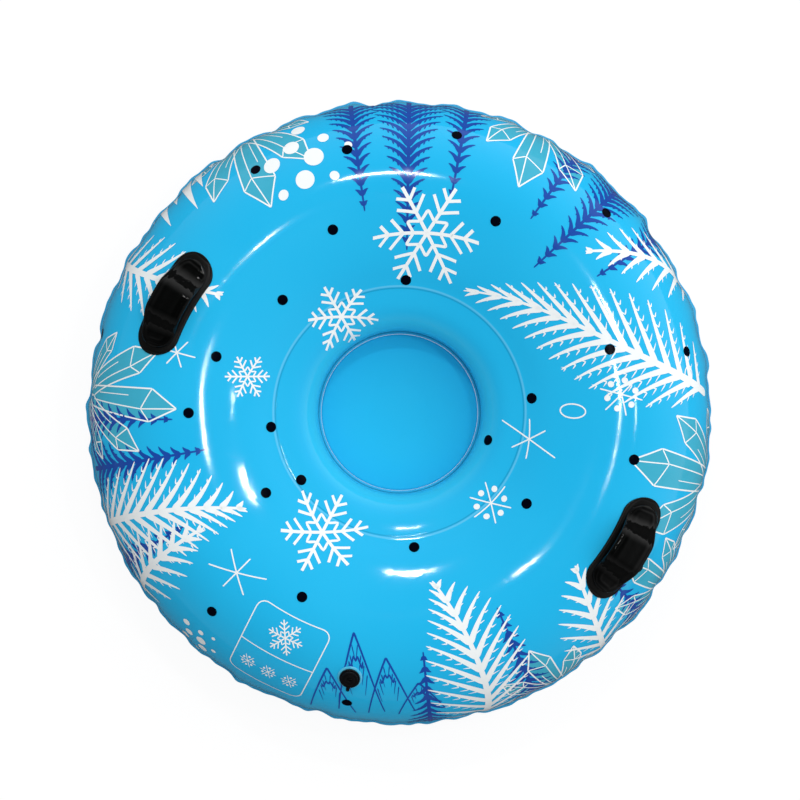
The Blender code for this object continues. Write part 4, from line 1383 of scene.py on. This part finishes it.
@dataclass(frozen=True)
class Handle:
    """A grab handle: a welded patch and an arched grip, both bent to the ring."""

    side: str
    azimuth: float
    turn: float
    twist: float
    patch_length: float = 0.176
    patch_width: float = 0.067
    patch_thickness: float = 0.002
    patch_edge: float = 0.0022
    stand: float = 0.0005
    weld_depth: float = 0.0006
    weld_inset: float = 0.0045
    weld_reach: float = 0.0011
    grip_length: float = 0.152
    end_width: float = 0.053
    waist_width: float = 0.049
    thickness: float = 0.010
    foot_thickness: float = 0.006
    tip_share: float = 0.45
    rise: float = 0.026
    foot_length: float = 0.020
    shoulder_length: float = 0.040
    squareness: float = 0.8
    upright: float = 0.6
    bead: float = 0.0012
    bead_insets: tuple[float, float] = (0.0042, 0.0112)
    bead_reach: float = 0.0024
    dip: float = 0.0012
    angle_step: float = 0.001
    patch_stations: int = 90
    patch_columns: int = 37
    grip_stations: int = 120
    grip_sides: int = 48

    def lay(self, along_ring: np.ndarray, up: np.ndarray, lift: np.ndarray) -> np.ndarray:
        """Points at distances along the ring and up the section from the handle's middle, at a lift."""
        turn, twist = math.radians(self.turn), math.radians(self.twist)
        before, after = np.interp([turn - self.angle_step, turn + self.angle_step], TURNS, ARCS)
        stretch = (after - before) / (2 * self.angle_step)
        around = along_ring * math.cos(twist) - up * math.sin(twist)
        section = along_ring * math.sin(twist) + up * math.cos(twist)
        azimuth = math.radians(self.azimuth) + around / RING.crown_line(turn)[0]
        return RING.top(azimuth, turn + section / stretch, lift)

    def stations(self, length: float, width: float, count: int) -> tuple[np.ndarray, np.ndarray, np.ndarray]:
        """A shape with round ends.

        Args:
            length: its length.
            width: its width, and its ends' diameter.
            count: how many stations it gets.

        Returns:
            As columns: each station's place along it, its half width there, and its distance to the end.
        """
        place = -length / 2 * np.cos(np.linspace(0.02, math.pi - 0.02, count))[:, None]
        inward = length / 2 - np.abs(place)
        share = np.clip(1 - 2 * inward / width, 0.0, 1.0)
        return place, width / 2 * np.sqrt(1 - share**2), inward

    def patch(self) -> bpy.types.Object:
        """The patch: a thin plate with a rounded edge and a pressed weld line all round."""
        place, half, inward = self.stations(self.patch_length, self.patch_width, self.patch_stations)
        share = np.linspace(-1, 1, self.patch_columns)
        flat = half * share
        edge = np.minimum(half * (1 - np.abs(share)), inward)
        weld = -self.weld_depth * bell(edge - self.weld_inset, self.weld_reach)
        crown = 0.35 + 0.65 * np.sqrt(np.clip(edge / self.patch_edge, 0, 1))
        upper = self.stand + self.patch_thickness * crown + weld
        lower = np.full_like(flat[:, 1:-1], self.stand)
        up = np.concatenate([flat, flat[:, -2:0:-1]], 1)
        points = self.lay(place, up, np.concatenate([upper, lower], 1))
        return grid_object(f"{self.side}_handle_flange", points, caps=True)

    def grip(self) -> bpy.types.Object:
        """The grip: a squared oval section along an arch that rises as a smooth step.

        Beads run round its upper edge, and the arch leans from the sheet's normal back towards upright.
        """
        place, half, inward = self.stations(self.grip_length, self.end_width, self.grip_stations)
        rise = smooth_step((inward - self.foot_length) / self.shoulder_length)
        width = half * (1 + (self.waist_width / self.end_width - 1) * rise)
        full = self.foot_thickness + (self.thickness - self.foot_thickness) * rise
        thick = full * (self.tip_share + (1 - self.tip_share) * 2 * half / self.end_width)
        angle = np.linspace(0, 2 * math.pi, self.grip_sides + 1)[:-1]
        across = np.sign(np.cos(angle)) * np.abs(np.cos(angle)) ** self.squareness
        height = np.sign(np.sin(angle)) * np.abs(np.sin(angle)) ** self.squareness
        edge = np.minimum(width * (1 - np.abs(across)), inward)
        beads = sum(bell(edge - inset, self.bead_reach) for inset in self.bead_insets)
        relief = (self.bead * beads - self.dip * rise * (1 - across**2)) * (height > 0)
        seat = self.stand + self.patch_thickness + RING.clearance
        lift = seat + self.rise * rise + thick / 2 + thick / 2 * height + relief
        out_x, out_z = RING.crown(math.radians(self.turn))[2:]
        up = width * across + self.upright * self.rise * out_x / out_z * rise
        return grid_object(f"{self.side}_handle_arch", self.lay(place, up, lift), caps=True)

    def build(self) -> None:
        """Makes and dresses the handle."""
        dress(self.patch(), PATCH.material(), stands_for=f"{self.side}_handle_patch")
        dress(self.grip(), HANDLE.material(), stands_for=f"{self.side}_handle_grip")


# The valve


@dataclass(frozen=True)
class Valve:
    """The air valve: weld ring, boss, screwed insert, strap ring with its tab, and the cap.

    Heights stand on the sheet's plain section.
    """

    azimuth: float = -100.6
    turn: float = 66.1
    sides: int = 96
    weld_radius: float = 0.0195
    shank_radius: float = 0.0146
    collar_radius: float = 0.0165
    collar_top: float = 0.0057
    collar_foot: float = 0.0021
    shank_end: float = -0.009
    bore_radius: float = 0.011
    flange_radius: float = 0.0136
    flange_top: float = 0.0089
    flange_foot: float = 0.0071
    insert_end: float = -0.008
    mouth_radius: float = 0.0066
    strap_radius: float = 0.0131
    strap_top: float = 0.0100
    strap_foot: float = 0.0092
    tab_reach: float = 0.0205
    cap_radius: float = 0.0095
    cap_top: float = 0.0114
    plug_length: float = 0.005
    hinge_reach: float = 0.0118
    lug_width: float = 0.006
    lug_heights: tuple[float, float] = (0.0103, 0.0112)
    rib_length: float = 0.0085
    rib_width: float = 0.0011
    rib_pitch: float = 0.003
    rib_heights: tuple[float, float] = (-0.0009, 0.0006)
    pole: float = 0.0002
    rim_depth: float = 0.0009
    boss_notches: tuple[int, float] = (36, 0.0004)
    flange_notches: tuple[int, float] = (24, 0.0005)
    collar_band: tuple[tuple[float, float], ...] = (
        (0.0149, 0.0005), (0.0149, 0.0018), (0.0160, 0.0019), (0.0180, 0.0017), (0.0193, 0.0013),
        (0.0195, 0.0009), (0.0195, 0.0005),
    )

    def axes(self) -> np.ndarray:
        """The valve's frame as four columns: along the ring, up the section, outward, and its place."""
        azimuth, turn = math.radians(self.azimuth), math.radians(self.turn)
        out_x, out_z = RING.crown(turn)[2:]
        along_ring = np.array([-math.sin(azimuth), math.cos(azimuth), 0.0])
        outward = RING.point(azimuth, out_x, out_z)
        place = RING.raised(azimuth, turn, -RING.pucker(azimuth, turn) - RING.groove(turn))
        return np.stack([along_ring, np.cross(outward, along_ring), outward, place], -1)

    def world(self, local: np.ndarray) -> np.ndarray:
        """Points in the valve's frame as points in the row frame."""
        axes = self.axes()
        return local @ axes[:, :3].T + axes[:, 3]

    def lathe(
        self, name: str, profile: Sequence[tuple[float, float]], notches: int = 0, depth: float = 0.0
    ) -> bpy.types.Object:
        """A turned ring: a closed profile carried round the axis, with notches that a cosine cuts in its rim.

        Args:
            name: the object's name.
            profile: radius and height of each corner, down the outer side.
            notches: how many notches the widest corners carry.
            depth: their depth.

        Returns:
            The object.
        """
        shape = np.asarray(profile)
        angle = np.arange(self.sides * 2) * (math.pi / self.sides)
        rim = shape[:, :1] > shape[:, 0].max() - self.rim_depth
        cut = depth * (0.5 - 0.5 * np.cos(notches * angle)) ** 3 * rim
        local = RING.point(angle, shape[:, :1] - cut, shape[:, 1:])
        return grid_object(name, self.world(local)[::-1], closed=True)

    def rounded(self, inner: float, outer: float, edge: float = 0.0003) -> list[tuple[float, float]]:
        """The strap ring's profile: its upper edges are rounded by short steps of a quarter circle."""
        angles = np.linspace(0, math.pi / 2, 5)
        rise, low = self.strap_top - edge, self.strap_foot
        left = [(inner + edge - edge * math.sin(a), rise + edge * math.cos(a)) for a in angles[::-1]]
        right = [(outer - edge + edge * math.sin(a), rise + edge * math.cos(a)) for a in angles]
        return [*left, *right, (outer, (low + rise) / 2), (outer, low), (inner, low)]

    def slab(self, name: str, outline: np.ndarray, bottom: float, top: float) -> bpy.types.Object:
        """A flat piece: its outline at four heights, drawn in a little at the top and the bottom."""
        centre = outline.mean(0)
        rows = []
        for z, share in ((bottom, 0.97), (bottom + 0.00015, 1.0), (top - 0.0002, 1.0), (top, 0.95)):
            rows.append(np.column_stack([centre + (outline - centre) * share, np.full(len(outline), z)]))
        return grid_object(name, self.world(np.stack(rows)), caps=True)

    def tongue(self, start: float, end: float) -> np.ndarray:
        """A tongue's outline along -Y, square at its start and a half circle at its end."""
        half = self.lug_width / 2
        angle = np.linspace(0, -math.pi, 17)
        arc = np.stack([half * np.cos(angle), end + half + half * np.sin(angle)], -1)
        return np.concatenate([[[half, start]], arc, [[-half, start]]])[::-1]

    def drill(self, reach: float = 0.02) -> bpy.types.Object:
        """A plain cylinder along the axis, as wide as the hole in the sheet that the boss's shank fills."""
        radius, middle = self.shank_radius + RING.clearance, self.pole / 2
        return self.lathe("drill", [(middle, reach), (radius, reach), (radius, -reach), (middle, -reach)])

    def collar(self) -> bpy.types.Object:
        """The weld ring: a soft rounded band that follows the sheet round the boss."""
        angle = np.arange(self.sides) * (2 * math.pi / self.sides)
        radii, lifts = np.array(self.collar_band).T[..., None]
        place = self.axes()[:, 3]
        azimuth, turn = Spot(place[0], place[1]).spread(radii * np.cos(angle), radii * np.sin(angle))
        return grid_object("valve_weld_collar", RING.top(azimuth, turn, lifts), closed=True)

    def boss(self) -> bpy.types.Object:
        """The boss: a notched collar on a shank."""
        wide, top, foot = self.collar_radius, self.collar_top, self.collar_foot
        rim = [
            (wide - 0.0009, top), (wide - 0.0003, top - 0.0003), (wide, top - 0.0008), (wide, foot + 0.0007),
            (wide - 0.0002, foot), (self.shank_radius, foot), (self.shank_radius, self.shank_end),
        ]
        profile = [(self.bore_radius, top), *rim, (self.bore_radius, self.shank_end)]
        return self.lathe("valve_boss", profile, *self.boss_notches)

    def insert(self) -> bpy.types.Object:
        """The insert: a notched flange on a neck that fills the boss's bore."""
        wide, top, foot = self.flange_radius, self.flange_top, self.flange_foot
        neck, mouth = self.bore_radius - RING.clearance, self.mouth_radius
        profile = [
            (mouth, top - 0.0003), (mouth + 0.0003, top), (wide - 0.0008, top), (wide - 0.0002, top - 0.0003),
            (wide, top - 0.0008), (wide, foot + 0.0002), (wide - 0.0002, foot), (neck, foot),
            (neck, self.insert_end), (mouth, self.insert_end),
        ]
        return self.lathe("valve_screw_insert", profile, *self.flange_notches)

    def disc(self) -> bpy.types.Object:
        """The cap: a dished disc with a raised rim, and a plug that narrows at its end."""
        wide, top, foot = self.cap_radius, self.cap_top, self.strap_foot
        plug = self.mouth_radius - RING.clearance
        profile = [
            (self.pole, top - 0.0005), (0.0052, top - 0.0005), (0.0057, top - 0.0001), (0.0062, top),
            (wide - 0.0008, top), (wide - 0.0002, top - 0.0003), (wide, top - 0.0008), (wide, foot),
            (plug, foot), (plug, foot - 0.0006), (plug - 0.0001, foot - 0.001),
            (plug - 0.001, foot - self.plug_length), (self.pole, foot - self.plug_length),
        ]
        return self.lathe("valve_cap_disc", profile)

    def rib(self, index: int) -> bpy.types.Object:
        """One of the cap's three finger ribs."""
        corners = np.array([[-1, -1], [1, -1], [1, 1], [-1, 1]]) / 2 * (self.rib_length, self.rib_width)
        outline = corners + (0.0, (index - 1) * self.rib_pitch)
        bottom, top = (self.cap_top + height for height in self.rib_heights)
        return self.slab(f"valve_cap_rib_{index}", outline, bottom, top)

    def build(self) -> None:
        """Makes and dresses the valve's pieces."""
        plastic = PLASTIC.material()
        dress(self.collar(), CLEAR.material(), stands_for="valve_weld_ring")
        dress(self.boss(), plastic, stands_for="valve_base")
        dress(self.insert(), plastic, "insert", "valve_insert")
        profile = self.rounded(self.cap_radius + RING.clearance, self.strap_radius)
        strap = self.lathe("cap_strap_ring", profile)
        dress(strap, plastic, "insert", "cap_strap")
        outline = self.tongue(0.0002 - self.strap_radius, -self.tab_reach)
        tab = self.slab("cap_pull_tab", outline, self.strap_foot, self.strap_top)
        dress(tab, plastic, "insert")
        dress(self.disc(), plastic, "cap", "valve_cap")
        outline = self.tongue(0.0004 - self.cap_radius, RING.clearance - self.hinge_reach)
        dress(self.slab("valve_cap_lug", outline, *self.lug_heights), plastic, "cap")
        for index in range(3):
            dress(self.rib(index), plastic, "cap")


# What stays of the CAD model


def repaint_nodes() -> None:
    """Gives the CAD nodes that stay in sight or inside their own finishes."""
    for name, finish in {"stay_band": BASE, "valve_seal": RUBBER, "check_flap": RUBBER}.items():
        materials = bpy.data.objects[name].data.materials
        materials.clear()
        materials.append(finish.material())
        log.info("%s: repainted", name)


# The studio


@dataclass(frozen=True)
class Lamp:
    """A small soft box over the tube: its azimuth, its distance off the axis, its size and its brightness."""

    azimuth: float
    reach: float
    width: float
    depth: float
    brightness: float
    height: float = 4.0

    def build(self, name: str, aim: tuple[float, float, float]) -> None:
        """Hangs the box so that it faces a point, with its width level."""
        azimuth = math.radians(self.azimuth)
        place = Vector((self.reach * math.cos(azimuth), self.reach * math.sin(azimuth), self.height))
        way = (place - Vector(aim)).normalized()
        data = bpy.data.lights.new(name, "AREA")
        data.shape = "RECTANGLE"
        data.size, data.size_y = self.width, self.depth
        data.energy = self.brightness * 4 * self.width * self.depth
        item = bpy.data.objects.new(name, data)
        bpy.context.scene.collection.objects.link(item)
        level = Vector((-math.sin(azimuth), math.cos(azimuth), 0.0))
        axes = Matrix((level, way.cross(level), way)).transposed().to_4x4()
        axes.translation = place
        item.matrix_world = axes


@dataclass(frozen=True)
class Studio:
    """Floor, lamps, sky and camera."""

    height: float = 4.17
    middle: float = 0.151
    metres_per_pixel: float = 0.001622
    picture: int = 800
    centre: tuple[float, float] = (399.5, 412.3)
    lamps: tuple[Lamp, ...] = (
        Lamp(93.4, 1.50, 0.42, 0.11, 100.0),
        Lamp(-3.3, 0.44, 0.07, 0.075, 130.0),
        Lamp(-3.3, 1.30, 0.13, 0.06, 32.0),
        Lamp(129.6, 0.40, 0.09, 0.07, 80.0),
        Lamp(26.0, 1.11, 0.32, 0.10, 100.0),
    )
    sky_low: float = 0.58
    sky_rise: float = 0.25
    sky_lean: float = 0.74
    sky_azimuth: float = 45.0
    sky_least: float = 0.32
    sky_glossy_dip: float = 0.92
    aim: tuple[float, float, float] = (0.0, 0.0, 0.3)
    floor_reach: float = 9.0
    floor_gap: float = 0.0004
    floor_pale: Colour = (0.80, 0.80, 0.80)
    floor_dark: Colour = (0.12, 0.12, 0.12)
    floor_specks: tuple[Colour, Colour] = ((0.93, 0.93, 0.93), (0.91, 0.91, 0.91))
    floor_speck_scale: float = 40.0
    floor_speck_share: float = 0.2
    floor_roughness: float = 0.9
    floor_glow: float = 1.04
    floor_glow_share: float = 0.88

    def camera(self) -> None:
        """Hangs the camera above the tube; the small shift puts the ring where the picture has it."""
        data = bpy.data.cameras.new("camera")
        distance = self.height - self.middle
        data.lens = data.sensor_width * distance / (self.picture * self.metres_per_pixel)
        data.shift_x = (self.picture / 2 - self.centre[0]) / self.picture
        data.shift_y = (self.centre[1] - self.picture / 2) / self.picture
        item = bpy.data.objects.new("camera", data)
        item.location = (0.0, 0.0, self.height)
        bpy.context.scene.collection.objects.link(item)
        bpy.context.scene.camera = item

    def floor(self) -> None:
        """A wide floor: near white to the camera, with the tube's shadow, and dark in the tube's gloss."""
        corners = [[-1, -1], [1, -1], [1, 1], [-1, 1]]
        points = np.array([[x * self.floor_reach, y * self.floor_reach, -self.floor_gap] for x, y in corners])
        item = mesh_object("floor", points, [[0, 1, 2, 3]])
        graph = Graph("studio_floor")
        path = graph.node("ShaderNodeLightPath", {}, {}).outputs
        seen = Value(graph, path["Is Camera Ray"])
        other = graph.mix(path["Is Glossy Ray"], self.floor_pale, self.floor_dark)
        specks = graph.noise(self.floor_speck_scale, 2.0) * self.floor_speck_share
        colour = graph.mix(seen, other, graph.mix(specks, *self.floor_specks))
        graph.feed(graph.shader, {"Base Color": colour, "Roughness": self.floor_roughness})
        glow = graph.node("ShaderNodeEmission", {}, {"Color": WHITE, "Strength": self.floor_glow})
        inputs = {0: seen * self.floor_glow_share, 1: graph.shader.outputs[0], 2: glow.outputs[0]}
        blend = graph.node("ShaderNodeMixShader", {}, inputs)
        graph.feed(graph.tree.nodes["Material Output"], {"Surface": blend.outputs[0]})
        item.data.materials.append(graph.owner)

    def sky(self) -> None:
        """A pale sky: white to the camera; as a light brighter on one side, and dim overhead in the gloss."""
        graph = Graph("studio", sky=True)
        bpy.context.scene.world = graph.owner
        azimuth = math.radians(self.sky_azimuth)
        lean = (self.sky_lean * math.cos(azimuth), self.sky_lean * math.sin(azimuth), self.sky_rise)
        way = graph.node("ShaderNodeTexCoord", {}, {}).outputs["Generated"]
        path = graph.node("ShaderNodeLightPath", {}, {}).outputs
        slope = Value(graph, graph.vector("DOT_PRODUCT", way, lean)["Value"])
        overhead = Value(graph, graph.vector("DOT_PRODUCT", way, (0.0, 0.0, self.sky_glossy_dip))["Value"])
        light = (slope + self.sky_low).math("MAXIMUM", self.sky_least)
        light = light * (1 - overhead * path["Is Glossy Ray"])
        strength = graph.node("ShaderNodeMapRange", {}, {"To Min": light, "Value": path["Is Camera Ray"]})
        graph.feed(graph.shader, {"Strength": strength.outputs[0], "Color": WHITE})

    def build(self) -> None:
        """Sets the studio up."""
        self.camera()
        self.floor()
        self.sky()
        for index, lamp in enumerate(self.lamps):
            lamp.build(f"soft_box_{index}", self.aim)
        bpy.context.scene.view_settings.view_transform = "Standard"


def main() -> None:
    """Builds the tube's looks in order."""
    logging.basicConfig(level=logging.INFO, format="%(message)s")
    Studio().build()
    Sheets().build()
    Print(layout()).build()
    Handle("left", 154.1, 76.5, -3.0).build()
    Handle("right", -31.1, 69.0, 0.0).build()
    Valve().build()
    repaint_nodes()


if __name__ == "__main__":
    main()
